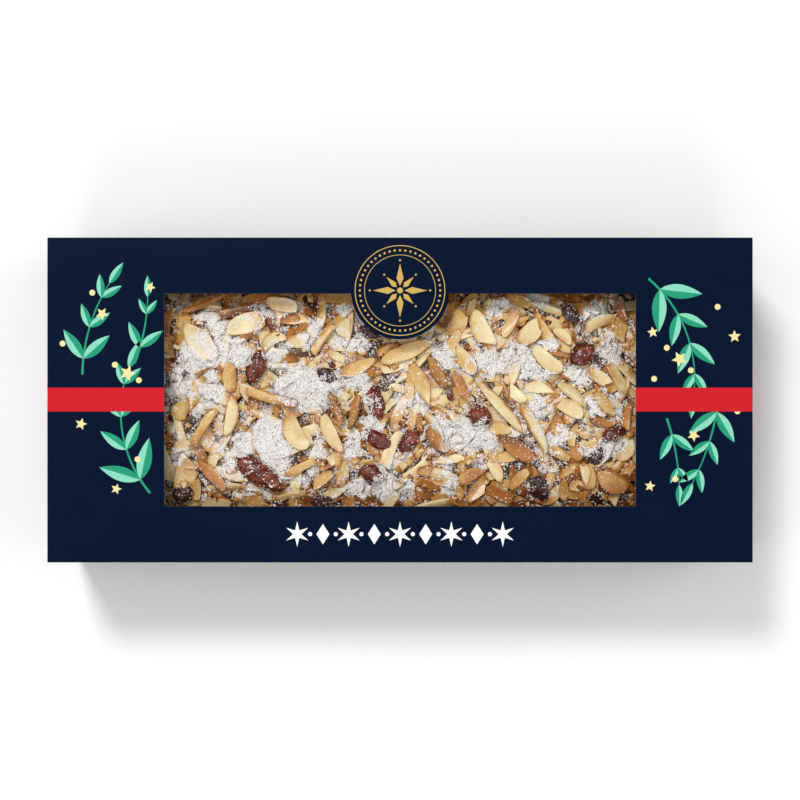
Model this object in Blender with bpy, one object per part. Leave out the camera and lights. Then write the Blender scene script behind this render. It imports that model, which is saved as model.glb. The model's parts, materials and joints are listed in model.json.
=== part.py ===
"""A stollen loaf in its shut gift carton, lying flat with the window up.

The carton is one folded piece of board with a die-cut window and a round tab that reaches into it.
Behind the window is a clear film, and under the film lies the loaf with its almond topping.
Metres, +Z up, the origin at the middle of the carton's underside, +X along the carton.
"""

import math
import random

import bmesh
import bpy
from mathutils import Matrix, Vector

MM = 0.001
GAP = 0.3 * MM  # between pieces that touch in the real object

# The carton
CARTON_LENGTH = 250.0 * MM
CARTON_WIDTH = 115.4 * MM
CARTON_HEIGHT = 70.0 * MM
BOARD = 0.6 * MM
CREASE_RADIUS = 1.0 * MM
CREASE_STEPS = 3
END_SLIT = 0.4 * MM  # round the three free sides of each tucked end panel
END_RECESS = 0.1 * MM

# The window and the round tab that hangs into it from its far edge
WINDOW_LENGTH = 167.0 * MM
WINDOW_WIDTH = 75.4 * MM
TAB_RADIUS = 17.35 * MM
TAB_RISE = 1.1 * MM  # the tab's centre lies this far outside the window's edge
TAB_STEPS = 40
FILM = 0.2 * MM
FILM_MARGIN = 7.0 * MM

# The baked loaf, without its topping
LOAF_HALF_LENGTH = 111.0 * MM
LOAF_HALF_WIDTH = 48.5 * MM
LOAF_BASE = BOARD + GAP
LOAF_SIDE_HEIGHT = 29.0 * MM  # where the loaf is widest
LOAF_TOP = 55.5 * MM
PLAN_POWER = 4.6  # 2 would make the plan an ellipse, more makes it squarer
CROWN_POWER = 4.0  # the same for the section
# Below its widest line the loaf narrows in bands: (how far down, size against the widest line).
LOWER_BANDS = ((0.5, 0.985), (0.92, 0.93), (1.0, 0.907))
LOAF_CELLS = (20, 9)

# The almond topping
TOPPING_DEPTH = 3.8 * MM
TOPPING_RIM_DEPTH = 1.6 * MM
TOPPING_CELLS = (40, 17)
TOPPING_REACH = 0.88  # share of the way from the crown's middle to the loaf's widest line
RIM_SHARE = 0.2  # the outer share of the topping in which it thins out
RIM_BUMP_SHARE = 0.3  # how high its bumps still are at the very rim
RIM_DROP = 1.0 * MM  # the rim's depth below its lowest edge, before the loaf is cut out of it
BUMP_COUNT = 210
BUMP_HALF_LENGTH = (5.5 * MM, 10.0 * MM)
BUMP_HALF_WIDTH = (2.6 * MM, 4.4 * MM)
BUMP_HEIGHT = (1.2 * MM, 3.0 * MM)
BUMP_SEED = 24

# The larger pieces on the topping
FLAKE_THICKNESS = 1.5 * MM
FLAKE_STATIONS = 5
FLAKE_CURL = 0.12  # the ends' rise against the thickness
FLAKE_EDGE = 0.86  # the flat faces' size against the outline's
SLIVER_THICKNESS = 2.6 * MM
SLIVER_STATIONS = ((0.0, 0.45), (0.12, 0.85), (0.5, 1.0), (0.86, 0.9), (1.0, 0.4))  # place, size
SLIVER_SLANT = 0.02  # how far the ends slant, against the length
SLIVER_BOW = 0.18  # the middle's rise against the thickness
KERNEL_SIDES = 8
KERNEL_STATIONS = 5
NUT_FLATNESS = 0.72  # thickness against width
RAISIN_FLATNESS = 0.66
RAISIN_WRINKLE = 0.12
PIECE_LIFT = 0.5 * MM  # how far a piece's middle lies above the topping that it is bedded in
PIECE_CLEARANCE = 0.9 * MM
POCKET_RISE = 5.0 * MM
SPREAD_ROUNDS = 200
SPREAD_PUSH = 0.55  # of the shortfall, on each of two crowded pieces

# Each piece's place (x, y), turn, length and width, in millimetres and degrees.
PIECES = {
    "flake_cream": [
        (-55.7, 27.7, 20, 15.0, 10.5),
        (-72.0, 22.5, -64, 17.5, 10.5),
        (-42.5, 34.0, -10, 12.0, 6.5),
        (-37.3, -11.2, -60, 15.0, 8.5),
        (29.8, 25.0, -62, 16.0, 7.8),
        (47.5, 24.5, 45, 13.0, 7.2),
        (52.3, 15.2, -40, 14.0, 7.0),
        (-24.5, -12.5, -60, 16.0, 5.5),
        (60.2, -2.6, -20, 13.0, 6.0),
        (42.8, -27.5, 45, 10.0, 5.5),
        (50.5, 4.5, 0, 12.0, 4.8),
        (58.8, 22.5, -40, 9.0, 4.0),
        (72.0, 8.0, -35, 12.0, 5.0),
    ],
    "flake_golden": [
        (1.5, 17.0, 20, 20.5, 6.2),
        (9.0, 6.0, -57, 18.5, 6.2),
        (22.0, 14.5, -48, 14.5, 5.8),
        (39.0, 27.0, 60, 12.0, 5.0),
        (-14.5, 12.0, 20, 13.8, 5.2),
        (-60.9, 7.6, 92, 12.5, 5.5),
        (36.0, -33.0, -25, 11.0, 4.8),
        (-28.5, -29.0, 38, 11.5, 4.5),
        (76.0, -29.4, -30, 13.5, 7.6),
        (25.5, -27.0, 25, 11.0, 4.8),
        (43.9, 35.0, -25, 13.0, 4.2),
    ],
    "flake_toasted": [
        (15.0, 10.5, -60, 13.5, 4.6),
        (20.5, 3.5, -68, 14.0, 4.2),
        (41.2, -18.8, -35, 17.0, 6.3),
        (-67.5, -27.0, -50, 15.5, 4.8),
        (13.0, -14.5, -55, 12.0, 5.0),
        (16.8, 30.4, 65, 10.5, 4.4),
        (80.0, 32.5, -80, 10.0, 4.4),
    ],
    "sliver_cream": [
        (36.6, -2.3, -50, 24.0, 4.4),
        (47.5, -10.5, -60, 18.5, 3.8),
        (-61.0, -5.0, 78, 14.5, 5.0),
    ],
    "sliver_golden": [
        (-69.8, 33.8, 23, 17.0, 3.4),
        (-45.7, 0.2, -16, 18.5, 4.0),
        (-27.9, 21.9, 55, 12.8, 3.6),
        (-70.5, -9.8, 58, 16.0, 3.8),
    ],
    "sliver_toasted": [
        (-22.0, -3.0, -70, 12.5, 3.2),
        (-17.0, -4.0, 75, 12.5, 3.4),
    ],
    "nut": [
        (-50.3, -26.4, -35, 21.0, 8.6),
        (65.5, 16.5, 40, 10.8, 8.2),
        (-51.7, 12.0, 75, 12.5, 7.0),
        (28.5, -5.5, -40, 9.0, 7.6),
        (3.2, -15.0, 50, 10.5, 6.4),
        (-7.5, -14.5, -30, 10.5, 6.4),
        (-9.0, -1.0, -75, 12.5, 6.4),
        (76.7, -12.0, 25, 9.0, 5.4),
        (-9.9, -26.3, -20, 9.0, 6.4),
    ],
    "raisin": [
        (49.9, -31.5, -70, 9.5, 6.6),
        (61.5, 30.5, -35, 8.0, 5.2),
        (-28.0, -36.5, 10, 7.8, 4.8),
        (-25.5, 9.0, -20, 8.4, 5.4),
        (-10.7, 24.5, -30, 7.6, 4.6),
        (-78.0, -34.0, 20, 7.6, 5.8),
        (71.0, -20.0, 60, 7.6, 4.8),
    ],
}


def clear_scene():
    for obj in list(bpy.data.objects):
        bpy.data.objects.remove(obj)


def surface_finish(name, colour, roughness, alpha=1.0):
    """A plain Principled material; nothing in the object is metal."""
    finish = bpy.data.materials.new(name)
    finish.use_nodes = True
    shader = finish.node_tree.nodes["Principled BSDF"]
    shader.inputs["Base Color"].default_value = (*colour, 1.0)
    shader.inputs["Roughness"].default_value = roughness
    shader.inputs["Metallic"].default_value = 0.0
    shader.inputs["Alpha"].default_value = alpha
    return finish


def solid(name, bm, finish=None, smooth=False):
    """Makes the bmesh an object with outward normals. Without a finish it is a cutter."""
    bmesh.ops.recalc_face_normals(bm, faces=bm.faces)
    mesh = bpy.data.meshes.new(name)
    bm.to_mesh(mesh)
    bm.free()
    obj = bpy.data.objects.new(name, mesh)
    bpy.context.scene.collection.objects.link(obj)
    if smooth:
        mesh.shade_smooth()
        mesh.set_sharp_from_angle(angle=math.radians(40))
    if finish:
        mesh.materials.append(finish)
    else:
        obj.hide_render = True
        obj.display_type = "WIRE"
    return obj


def boolean(obj, other, operation):
    cut = obj.modifiers.new(f"{operation.lower()} {other.name}", "BOOLEAN")
    cut.object = other
    cut.operation = operation
    cut.solver = "EXACT"


def add_box(bm, low, high):
    low, high = Vector(low), Vector(high)
    size = Matrix.Diagonal((*(high - low), 1.0))
    bmesh.ops.create_cube(bm, size=1.0, matrix=Matrix.Translation((low + high) / 2) @ size)


def add_prism(bm, outline, z_low, z_high):
    """A closed prism over an outline of (x, y) points that runs counter-clockwise."""
    low = [bm.verts.new((x, y, z_low)) for x, y in outline]
    high = [bm.verts.new((x, y, z_high)) for x, y in outline]
    bm.faces.new(reversed(low))
    bm.faces.new(high)
    for i in range(len(outline)):
        j = (i + 1) % len(outline)
        bm.faces.new((low[i], low[j], high[j], high[i]))


# ---------------------------------------------------------------- carton


def sleeve_loop(inset):
    """The carton's section in Y and Z, moved in by inset, with an arc at each long crease."""
    half_width = CARTON_WIDTH / 2 - inset
    low, high = inset, CARTON_HEIGHT - inset
    radius = CREASE_RADIUS - inset
    corners = [
        (half_width - radius, high - radius, 0),
        (-half_width + radius, high - radius, 90),
        (-half_width + radius, low + radius, 180),
        (half_width - radius, low + radius, 270),
    ]
    loop = []
    for centre_y, centre_z, start in corners:
        for step in range(CREASE_STEPS + 1):
            angle = math.radians(start + 90 * step / CREASE_STEPS)
            loop.append((centre_y + radius * math.cos(angle), centre_z + radius * math.sin(angle)))
    return loop


def add_sleeve(bm):
    """The four long panels, as one open-ended tube."""
    outer, inner = sleeve_loop(0.0), sleeve_loop(BOARD)
    rings = []
    for x in (-CARTON_LENGTH / 2, CARTON_LENGTH / 2):
        for loop in (outer, inner):
            rings.append([bm.verts.new((x, y, z)) for y, z in loop])
    outer_left, inner_left, outer_right, inner_right = rings
    for i in range(len(outer)):
        j = (i + 1) % len(outer)
        bm.faces.new((outer_left[i], outer_left[j], outer_right[j], outer_right[i]))
        bm.faces.new((inner_left[i], inner_right[i], inner_right[j], inner_left[j]))
        bm.faces.new((outer_left[i], inner_left[i], inner_left[j], outer_left[j]))
        bm.faces.new((outer_right[i], outer_right[j], inner_right[j], inner_right[i]))


def end_panel(side):
    """One end panel, hinged on the top panel and free on its other three sides."""
    half_width = CARTON_WIDTH / 2 - BOARD - END_SLIT
    outside = CARTON_LENGTH / 2 - END_RECESS
    faces_x = sorted((side * (outside - BOARD), side * outside))
    bm = bmesh.new()
    add_box(
        bm,
        (faces_x[0], -half_width, BOARD + END_SLIT),
        (faces_x[1], half_width, CARTON_HEIGHT - BOARD / 2),
    )
    return solid(f"guide_end_panel_{'right' if side > 0 else 'left'}", bm)


def window_outline():
    """The window, counter-clockwise from its near left corner, with the round tab left standing."""
    half_length, half_width = WINDOW_LENGTH / 2, WINDOW_WIDTH / 2
    tab_y = half_width + TAB_RISE
    dip = math.asin(TAB_RISE / TAB_RADIUS)
    outline = [(-half_length, -half_width), (half_length, -half_width), (half_length, half_width)]
    for step in range(TAB_STEPS + 1):
        angle = -dip - (math.pi - 2 * dip) * step / TAB_STEPS
        outline.append((TAB_RADIUS * math.cos(angle), tab_y + TAB_RADIUS * math.sin(angle)))
    outline.append((-half_length, half_width))
    return outline


def make_carton():
    board = surface_finish("navy_board", (0.0027, 0.0091, 0.0296), 0.45)
    bm = bmesh.new()
    add_sleeve(bm)
    carton = solid("carton", bm, board, smooth=True)
    for side in (-1, 1):
        boolean(carton, end_panel(side), "UNION")
    bm = bmesh.new()
    add_prism(bm, window_outline(), CARTON_HEIGHT - 3 * BOARD, CARTON_HEIGHT + BOARD)
    boolean(carton, solid("cutter_window", bm), "DIFFERENCE")


def make_film():
    clear = surface_finish("clear_film", (0.9, 0.92, 0.92), 0.08, alpha=0.15)
    half_length = WINDOW_LENGTH / 2 + FILM_MARGIN
    half_width = WINDOW_WIDTH / 2 + FILM_MARGIN
    top = CARTON_HEIGHT - BOARD - GAP
    bm = bmesh.new()
    add_box(bm, (-half_length, -half_width, top - FILM), (half_length, half_width, top))
    solid("window_film", bm, clear)


# ------------------------------------------------------------------ loaf


def plan_radius(x, y):
    """0 at the loaf's middle and 1 on its widest outline."""
    across = abs(x / LOAF_HALF_LENGTH) ** PLAN_POWER + abs(y / LOAF_HALF_WIDTH) ** PLAN_POWER
    return across ** (1 / PLAN_POWER)


def crown_height(x, y):
    """Height of the baked crust over a point of the plan."""
    fall = max(0.0, 1 - plan_radius(x, y) ** CROWN_POWER) ** (1 / CROWN_POWER)
    return LOAF_SIDE_HEIGHT + (LOAF_TOP - LOAF_SIDE_HEIGHT) * fall


def crown_normal(x, y):
    step = 0.5 * MM
    slope_x = (crown_height(x + step, y) - crown_height(x - step, y)) / (2 * step)
    slope_y = (crown_height(x, y + step) - crown_height(x, y - step)) / (2 * step)
    return Vector((-slope_x, -slope_y, 1)).normalized()


def crown_section(steps=400):
    """The crown's section as (share of the way down, radius share, height), evenly walked."""
    walk = [(0.0, 0.0, LOAF_TOP)]
    for step in range(1, steps + 1):
        turn = math.pi / 2 * step / steps
        radius = math.sin(turn) ** (2 / CROWN_POWER)
        rise = math.cos(turn) ** (2 / CROWN_POWER) if step < steps else 0.0
        height = LOAF_SIDE_HEIGHT + (LOAF_TOP - LOAF_SIDE_HEIGHT) * rise
        length, last_radius, last_height = walk[-1]
        stride = math.hypot((radius - last_radius) * LOAF_HALF_WIDTH, height - last_height)
        walk.append((length + stride, radius, height))
    whole = walk[-1][0]
    return [(length / whole, radius, height) for length, radius, height in walk]


CROWN_SECTION = crown_section()


def crown_point(u, v, offset):
    """The crown's surface at (u, v), each -1 to 1, moved out by offset along its normal."""
    ring = max(abs(u), abs(v))
    if ring < 1e-9:
        return Vector((0, 0, LOAF_TOP + offset))
    squareness = (abs(u) ** PLAN_POWER + abs(v) ** PLAN_POWER) ** (1 / PLAN_POWER)
    after = next(i for i, row in enumerate(CROWN_SECTION) if row[0] >= ring * 0.999999)
    (from_share, from_radius, from_height) = CROWN_SECTION[max(after - 1, 0)]
    (to_share, to_radius, to_height) = CROWN_SECTION[after]
    blend = (ring - from_share) / max(to_share - from_share, 1e-12)
    radius = from_radius + (to_radius - from_radius) * blend
    height = from_height + (to_height - from_height) * blend
    run = Vector(((to_radius - from_radius) * LOAF_HALF_WIDTH, to_height - from_height))
    run.normalize()
    outward = Vector((u / LOAF_HALF_LENGTH, v / LOAF_HALF_WIDTH)).normalized()
    x = LOAF_HALF_LENGTH * radius * u / squareness - outward.x * offset * run.y
    y = LOAF_HALF_WIDTH * radius * v / squareness - outward.y * offset * run.y
    return Vector((x, y, height + offset * run.x))


def add_crown(bm, cells, reach, offset_at):
    """The crown as a grid of quads. Returns its edge as a ring of vertices, in order."""
    across, along = cells[1], cells[0]
    grid = []
    for row in range(across + 1):
        v = (2 * row / across - 1) * reach
        line = []
        for column in range(along + 1):
            u = (2 * column / along - 1) * reach
            line.append(bm.verts.new(crown_point(u, v, offset_at(u, v))))
        grid.append(line)
    for row in range(across):
        for column in range(along):
            bm.faces.new(
                (
                    grid[row][column],
                    grid[row][column + 1],
                    grid[row + 1][column + 1],
                    grid[row + 1][column],
                )
            )
    ring = grid[0][:] + [line[-1] for line in grid[1:]]
    ring += grid[-1][-2::-1] + [line[0] for line in grid[-2:0:-1]]
    return ring


def add_ring(bm, ring, share, height):
    """A copy of the ring, its plan scaled by share about the middle, joined to it by a band."""
    lower = [bm.verts.new((vert.co.x * share, vert.co.y * share, height)) for vert in ring]
    for i in range(len(ring)):
        j = (i + 1) % len(ring)
        bm.faces.new((ring[i], lower[i], lower[j], ring[j]))
    return lower


def add_loaf(bm, grown):
    """The whole loaf, moved out all over by grown."""
    ring = add_crown(bm, LOAF_CELLS, 1.0, lambda u, v: grown)
    height = LOAF_SIDE_HEIGHT - LOAF_BASE + grown
    last_size = 1.0
    for fall, size in LOWER_BANDS:
        ring = add_ring(bm, ring, size / last_size, LOAF_SIDE_HEIGHT - height * fall)
        last_size = size
    bm.faces.new(ring)
    # One diagonal for the loaf and its cutter, so that the gap between them is the same all over.
    bmesh.ops.triangulate(bm, faces=bm.faces, quad_method="FIXED")


def make_loaf():
    crust = surface_finish("baked_crust", (0.32, 0.13, 0.045), 0.7)
    bm = bmesh.new()
    add_loaf(bm, 0.0)
    solid("loaf", bm, crust, smooth=True)


# --------------------------------------------------------------- topping


def topping_bumps():
    """Where slices of almond lift the topping: (x, y, turn, half length, half width, height)."""
    draw = random.Random(BUMP_SEED)
    bumps = []
    for _ in range(BUMP_COUNT):
        bumps.append(
            (
                draw.uniform(-1, 1) * LOAF_HALF_LENGTH,
                draw.uniform(-1, 1) * LOAF_HALF_WIDTH,
                draw.uniform(0, math.pi),
                draw.uniform(*BUMP_HALF_LENGTH),
                draw.uniform(*BUMP_HALF_WIDTH),
                draw.uniform(*BUMP_HEIGHT),
            )
        )
    return bumps


BUMPS = topping_bumps()


def bump_lift(x, y):
    lift = 0.0
    for bump_x, bump_y, turn, half_length, half_width, height in BUMPS:
        along = (x - bump_x) * math.cos(turn) + (y - bump_y) * math.sin(turn)
        across = (y - bump_y) * math.cos(turn) - (x - bump_x) * math.sin(turn)
        inside = 1 - (along / half_length) ** 2 - (across / half_width) ** 2
        if inside > 0:
            lift = max(lift, height * math.sqrt(inside))
    return lift


def make_topping(pockets):
    almond = surface_finish("almond_topping", (0.55, 0.32, 0.14), 0.65)

    def depth(u, v):
        at = crown_point(u, v, 0.0)
        ring = max(abs(u), abs(v)) / TOPPING_REACH
        thinning = max(0.0, (ring - 1 + RIM_SHARE) / RIM_SHARE)
        base = TOPPING_DEPTH + (TOPPING_RIM_DEPTH - TOPPING_DEPTH) * thinning
        return base + bump_lift(at.x, at.y) * (1 - (1 - RIM_BUMP_SHARE) * thinning)

    bm = bmesh.new()
    rim = add_crown(bm, TOPPING_CELLS, TOPPING_REACH, depth)
    lowest = min(vert.co.z for vert in rim) - RIM_DROP
    bm.faces.new(add_ring(bm, rim, 1.0, lowest))
    topping = solid("almond_topping", bm, almond)
    bm = bmesh.new()
    add_loaf(bm, GAP)
    boolean(topping, solid("cutter_loaf", bm), "DIFFERENCE")
    boolean(topping, pockets, "DIFFERENCE")


# ---------------------------------------------------------------- pieces


def ends_of(piece):
    """The middle line of a piece's outline, as two points, for its clearance."""
    _, x, y, turn, length, width = piece
    half = Vector((math.cos(turn), math.sin(turn))) * (length - width) / 2
    return Vector((x, y)) - half, Vector((x, y)) + half


def nearest_on(point, start, end):
    run = end - start
    share = 0.0 if run.length_squared == 0 else (point - start).dot(run) / run.length_squared
    return start + run * min(1.0, max(0.0, share))


def parting(first, second):
    """The shortest way from the first piece's middle line to the second's."""
    a, b = ends_of(first)
    c, d = ends_of(second)
    ways = [nearest_on(a, c, d) - a, nearest_on(b, c, d) - b]
    ways += [c - nearest_on(c, a, b), d - nearest_on(d, a, b)]
    return min(ways, key=lambda way: way.length)


def spread_pieces():
    """PIECES in metres and radians, nudged apart until no two outlines touch."""
    pieces = []
    for kind, places in PIECES.items():
        for x, y, turn, length, width in places:
            pieces.append([kind, x * MM, y * MM, math.radians(turn), length * MM, width * MM])
    for _ in range(SPREAD_ROUNDS):
        crowded = False
        for i, first in enumerate(pieces):
            for second in pieces[i + 1 :]:
                way = parting(first, second)
                short = (first[5] + second[5]) / 2 + PIECE_CLEARANCE - way.length
                if short <= 0:
                    continue
                crowded = True
                push = (way.normalized() if way.length else Vector((1, 0))) * short * SPREAD_PUSH
                first[1], first[2] = first[1] - push.x, first[2] - push.y
                second[1], second[2] = second[1] + push.x, second[2] + push.y
        if not crowded:
            break
    return pieces


def flake_half_width(share):
    """An almond slice's outline against its width: round at one end and pointed at the other."""
    return 0.97 * math.sin(math.pi * share) ** 0.62 * (1.0 + 0.22 * math.cos(math.pi * share))


def add_flake(bm, length, width, thickness):
    """A slice of almond: an oval plate with a soft edge and a slight curl."""
    last = FLAKE_STATIONS
    way_round = [(i / last, 1) for i in range(last + 1)] + [(i / last, -1) for i in range(last - 1, 0, -1)]
    loops = []
    for size, level in ((FLAKE_EDGE, -0.5), (1.0, 0.0), (FLAKE_EDGE, 0.5)):
        loop = []
        for share, side in way_round:
            half_width = 0.0 if share in (0, 1) else width / 2 * flake_half_width(share)
            curl = FLAKE_CURL * thickness * (2 * share - 1) ** 2
            x = (share - 0.5) * length * size
            loop.append(bm.verts.new((x, side * half_width * size, level * thickness + curl)))
        loops.append(loop)
    for lower, upper in zip(loops, loops[1:]):
        for i in range(len(lower)):
            j = (i + 1) % len(lower)
            bm.faces.new((lower[i], lower[j], upper[j], upper[i]))
    for loop in (loops[0], loops[-1]):
        bm.faces.new((loop[0], loop[1], loop[-1]))
        for i in range(1, last - 1):
            bm.faces.new((loop[i], loop[i + 1], loop[-i - 1], loop[-i]))
        bm.faces.new((loop[last - 1], loop[last], loop[last + 1]))


def add_sliver(bm, length, width, thickness):
    """A stick cut from an almond: four-sided, with slanted ends and a slight bow."""
    loops = []
    for share, size in SLIVER_STATIONS:
        bow = SLIVER_BOW * thickness * (1 - (2 * share - 1) ** 2)
        loop = []
        for side_y, side_z in ((-1, -1), (1, -1), (1, 1), (-1, 1)):
            slant = SLIVER_SLANT * length * side_y if share in (0.0, 1.0) else 0.0
            z = side_z * thickness / 4 * (1 + size) + bow
            loop.append(bm.verts.new(((share - 0.5) * length + slant, side_y * width / 2 * size, z)))
        loops.append(loop)
    for near, far in zip(loops, loops[1:]):
        for i in range(4):
            j = (i + 1) % 4
            bm.faces.new((near[i], near[j], far[j], far[i]))
    bm.faces.new(reversed(loops[0]))
    bm.faces.new(loops[-1])


def add_kernel(bm, length, width, thickness, wrinkle):
    """A whole nut or a raisin: a pointed oval body, its skin lifted in ridges by wrinkle."""
    around, stations = KERNEL_SIDES, KERNEL_STATIONS
    tips = [bm.verts.new((side * length / 2, 0, 0)) for side in (-1, 1)]
    loops = []
    for i in range(1, stations):
        share = i / stations
        swell = 0.98 * math.sin(math.pi * share) ** 0.7 * (1 + 0.15 * math.cos(math.pi * share))
        loop = []
        for k in range(around):
            angle = 2 * math.pi * k / around
            ridge = 1 - wrinkle * (0.5 + 0.5 * math.cos(math.pi * k + i))
            loop.append(
                bm.verts.new(
                    (
                        (share - 0.5) * length,
                        width / 2 * swell * ridge * math.cos(angle),
                        thickness / 2 * swell * ridge * math.sin(angle),
                    )
                )
            )
        loops.append(loop)
    for near, far in zip(loops, loops[1:]):
        for k in range(around):
            m = (k + 1) % around
            bm.faces.new((near[k], far[k], far[m], near[m]))
    for tip, loop in ((tips[0], loops[0]), (tips[1], loops[-1])):
        for k in range(around):
            bm.faces.new((tip, loop[k], loop[(k + 1) % around]))


def add_piece(bm, piece, grown):
    """One piece at the origin, grown all over for its pocket."""
    kind, _, _, _, length, width = piece
    if kind.startswith("flake"):
        add_flake(bm, length + 2 * grown, width + 2 * grown, FLAKE_THICKNESS + 2 * grown)
    elif kind.startswith("sliver"):
        add_sliver(bm, length + 2 * grown, width + 2 * grown, SLIVER_THICKNESS + 2 * grown)
    elif kind == "nut":
        add_kernel(bm, length + 2 * grown, width + 2 * grown, width * NUT_FLATNESS + 2 * grown, 0.0)
    else:
        wrinkle = 0.0 if grown else RAISIN_WRINKLE
        flat = width * RAISIN_FLATNESS
        add_kernel(bm, length + 2 * grown, width + 2 * grown, flat + 2 * grown, wrinkle)


def add_pocket(pockets, piece, place):
    """The room for one piece: its shape grown by GAP and open above, as one convex body."""
    grown = bmesh.new()
    add_piece(grown, piece, GAP)
    grown.transform(place)
    points = [vert.co.copy() for vert in grown.verts]
    grown.free()
    verts = [pockets.verts.new(point) for point in points]
    verts += [pockets.verts.new(point + Vector((0, 0, POCKET_RISE))) for point in points]
    hull = bmesh.ops.convex_hull(pockets, input=verts)
    inside = [item for item in hull["geom_interior"] if isinstance(item, bmesh.types.BMVert)]
    bmesh.ops.delete(pockets, geom=inside, context="VERTS")


def resting_place(piece):
    """Lays a piece along the crown's slope, bedded in the slices under it."""
    _, x, y, turn, length, width = piece
    lifts = []
    for along in (-0.35, 0.0, 0.35):
        for across in (-0.3, 0.3):
            under_x = x + along * length * math.cos(turn) - across * width * math.sin(turn)
            under_y = y + along * length * math.sin(turn) + across * width * math.cos(turn)
            lifts.append(bump_lift(under_x, under_y))
    height = crown_height(x, y) + TOPPING_DEPTH + sum(lifts) / len(lifts) + PIECE_LIFT
    lean = Vector((0, 0, 1)).rotation_difference(crown_normal(x, y)).to_matrix().to_4x4()
    return Matrix.Translation((x, y, height)) @ lean @ Matrix.Rotation(turn, 4, "Z")


def make_pieces():
    """Each larger piece as its own object. Returns one cutter with a pocket for each."""
    finishes = {
        "flake_cream": surface_finish("almond_cream", (0.74, 0.55, 0.30), 0.55),
        "flake_golden": surface_finish("almond_golden", (0.60, 0.34, 0.13), 0.55),
        "flake_toasted": surface_finish("almond_toasted", (0.42, 0.17, 0.045), 0.5),
        "nut": surface_finish("nut_skin", (0.13, 0.022, 0.012), 0.4),
        "raisin": surface_finish("raisin_skin", (0.045, 0.012, 0.010), 0.45),
    }
    for tone in ("cream", "golden", "toasted"):
        finishes[f"sliver_{tone}"] = finishes[f"flake_{tone}"]
    pockets = bmesh.new()
    counts = {}
    for piece in spread_pieces():
        kind = piece[0]
        counts[kind] = counts.get(kind, 0) + 1
        place = resting_place(piece)
        bm = bmesh.new()
        add_piece(bm, piece, 0.0)
        obj = solid(f"{kind}_{counts[kind]:02d}", bm, finishes[kind])
        obj.matrix_world = place
        add_pocket(pockets, piece, place)
    return solid("cutter_pockets", pockets)


clear_scene()
make_carton()
make_film()
make_loaf()
make_topping(make_pieces())
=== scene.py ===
"""Looks for a stollen loaf in its window carton: printed board, clear film, and the oven-browned
loaf under almonds, nuts, raisins and icing sugar. Metres, +Z up, the carton lying window up.
"""

import json
import math

import bmesh
import bpy
import numpy as np
from mathutils import Matrix, Vector, noise
from mathutils.bvhtree import BVHTree

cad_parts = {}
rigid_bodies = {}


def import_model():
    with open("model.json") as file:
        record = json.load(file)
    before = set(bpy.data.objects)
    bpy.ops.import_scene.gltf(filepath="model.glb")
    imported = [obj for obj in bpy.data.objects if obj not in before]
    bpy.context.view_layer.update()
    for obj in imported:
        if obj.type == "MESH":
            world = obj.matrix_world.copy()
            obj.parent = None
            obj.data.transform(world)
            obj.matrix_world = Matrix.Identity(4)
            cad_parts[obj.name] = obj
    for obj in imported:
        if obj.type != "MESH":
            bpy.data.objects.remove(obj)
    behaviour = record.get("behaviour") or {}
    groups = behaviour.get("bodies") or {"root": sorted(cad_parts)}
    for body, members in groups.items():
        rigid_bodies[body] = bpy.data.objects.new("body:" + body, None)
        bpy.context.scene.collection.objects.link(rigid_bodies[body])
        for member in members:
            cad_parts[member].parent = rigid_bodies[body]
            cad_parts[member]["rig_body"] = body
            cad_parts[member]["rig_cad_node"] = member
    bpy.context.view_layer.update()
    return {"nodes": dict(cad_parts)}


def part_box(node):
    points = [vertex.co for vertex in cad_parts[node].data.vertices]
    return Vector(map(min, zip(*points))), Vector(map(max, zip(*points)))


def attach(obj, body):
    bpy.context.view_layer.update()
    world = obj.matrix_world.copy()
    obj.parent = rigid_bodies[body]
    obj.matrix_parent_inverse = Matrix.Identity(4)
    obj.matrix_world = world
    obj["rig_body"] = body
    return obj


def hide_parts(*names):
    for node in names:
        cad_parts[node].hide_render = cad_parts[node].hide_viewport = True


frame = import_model()

MM = 0.001

# ------------------------------------------------------------- driving sizes

carton_low, carton_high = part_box("carton")
film_low, film_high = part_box("window_film")
loaf_low, loaf_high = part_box("loaf")
topping_low, topping_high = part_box("almond_topping")

SKIN = 0.1 * MM  # the board's printed side lies this far inside the carton's box, and the ink on it
INK = 0.04 * MM
BOARD = 0.5 * MM
LONG = carton_high.x - SKIN  # half length, half width and height of the board's outer side
WIDE = carton_high.y - SKIN
TALL = carton_high.z - SKIN
WINDOW_LONG = 83.5 * MM
WINDOW_WIDE = 37.7 * MM
TAB_RADIUS = 17.35 * MM
TAB_Y = WINDOW_WIDE + 1.1 * MM
BAND_Y = 0.15 * MM
BAND_WIDTH = 8.5 * MM

# ------------------------------------------------------------------- colours


def shade(red, green, blue):
    """A colour given as 0 to 255, as linear light."""
    return tuple(((c / 255 + 0.055) / 1.055) ** 2.4 if c > 10 else c / 255 / 12.92 for c in (red, green, blue))


NAVY = shade(5, 20, 44)
RED = shade(200, 35, 43)
WHITE = shade(250, 250, 248)
GOLD = shade(200, 165, 82)
CREAM = shade(240, 222, 160)
MINT = shade(134, 212, 183)
TEAL = shade(42, 152, 118)
FOREST = shade(12, 108, 84)

# -------------------------------------------------------------- modelling aids


def deselect():
    for obj in list(bpy.context.selected_objects):
        obj.select_set(False)


def take(obj):
    deselect()
    obj.select_set(True)
    bpy.context.view_layer.objects.active = obj
    return obj


def edit(obj):
    take(obj)
    bpy.ops.object.mode_set(mode="EDIT")


def leave():
    bpy.ops.object.mode_set(mode="OBJECT")


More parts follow.
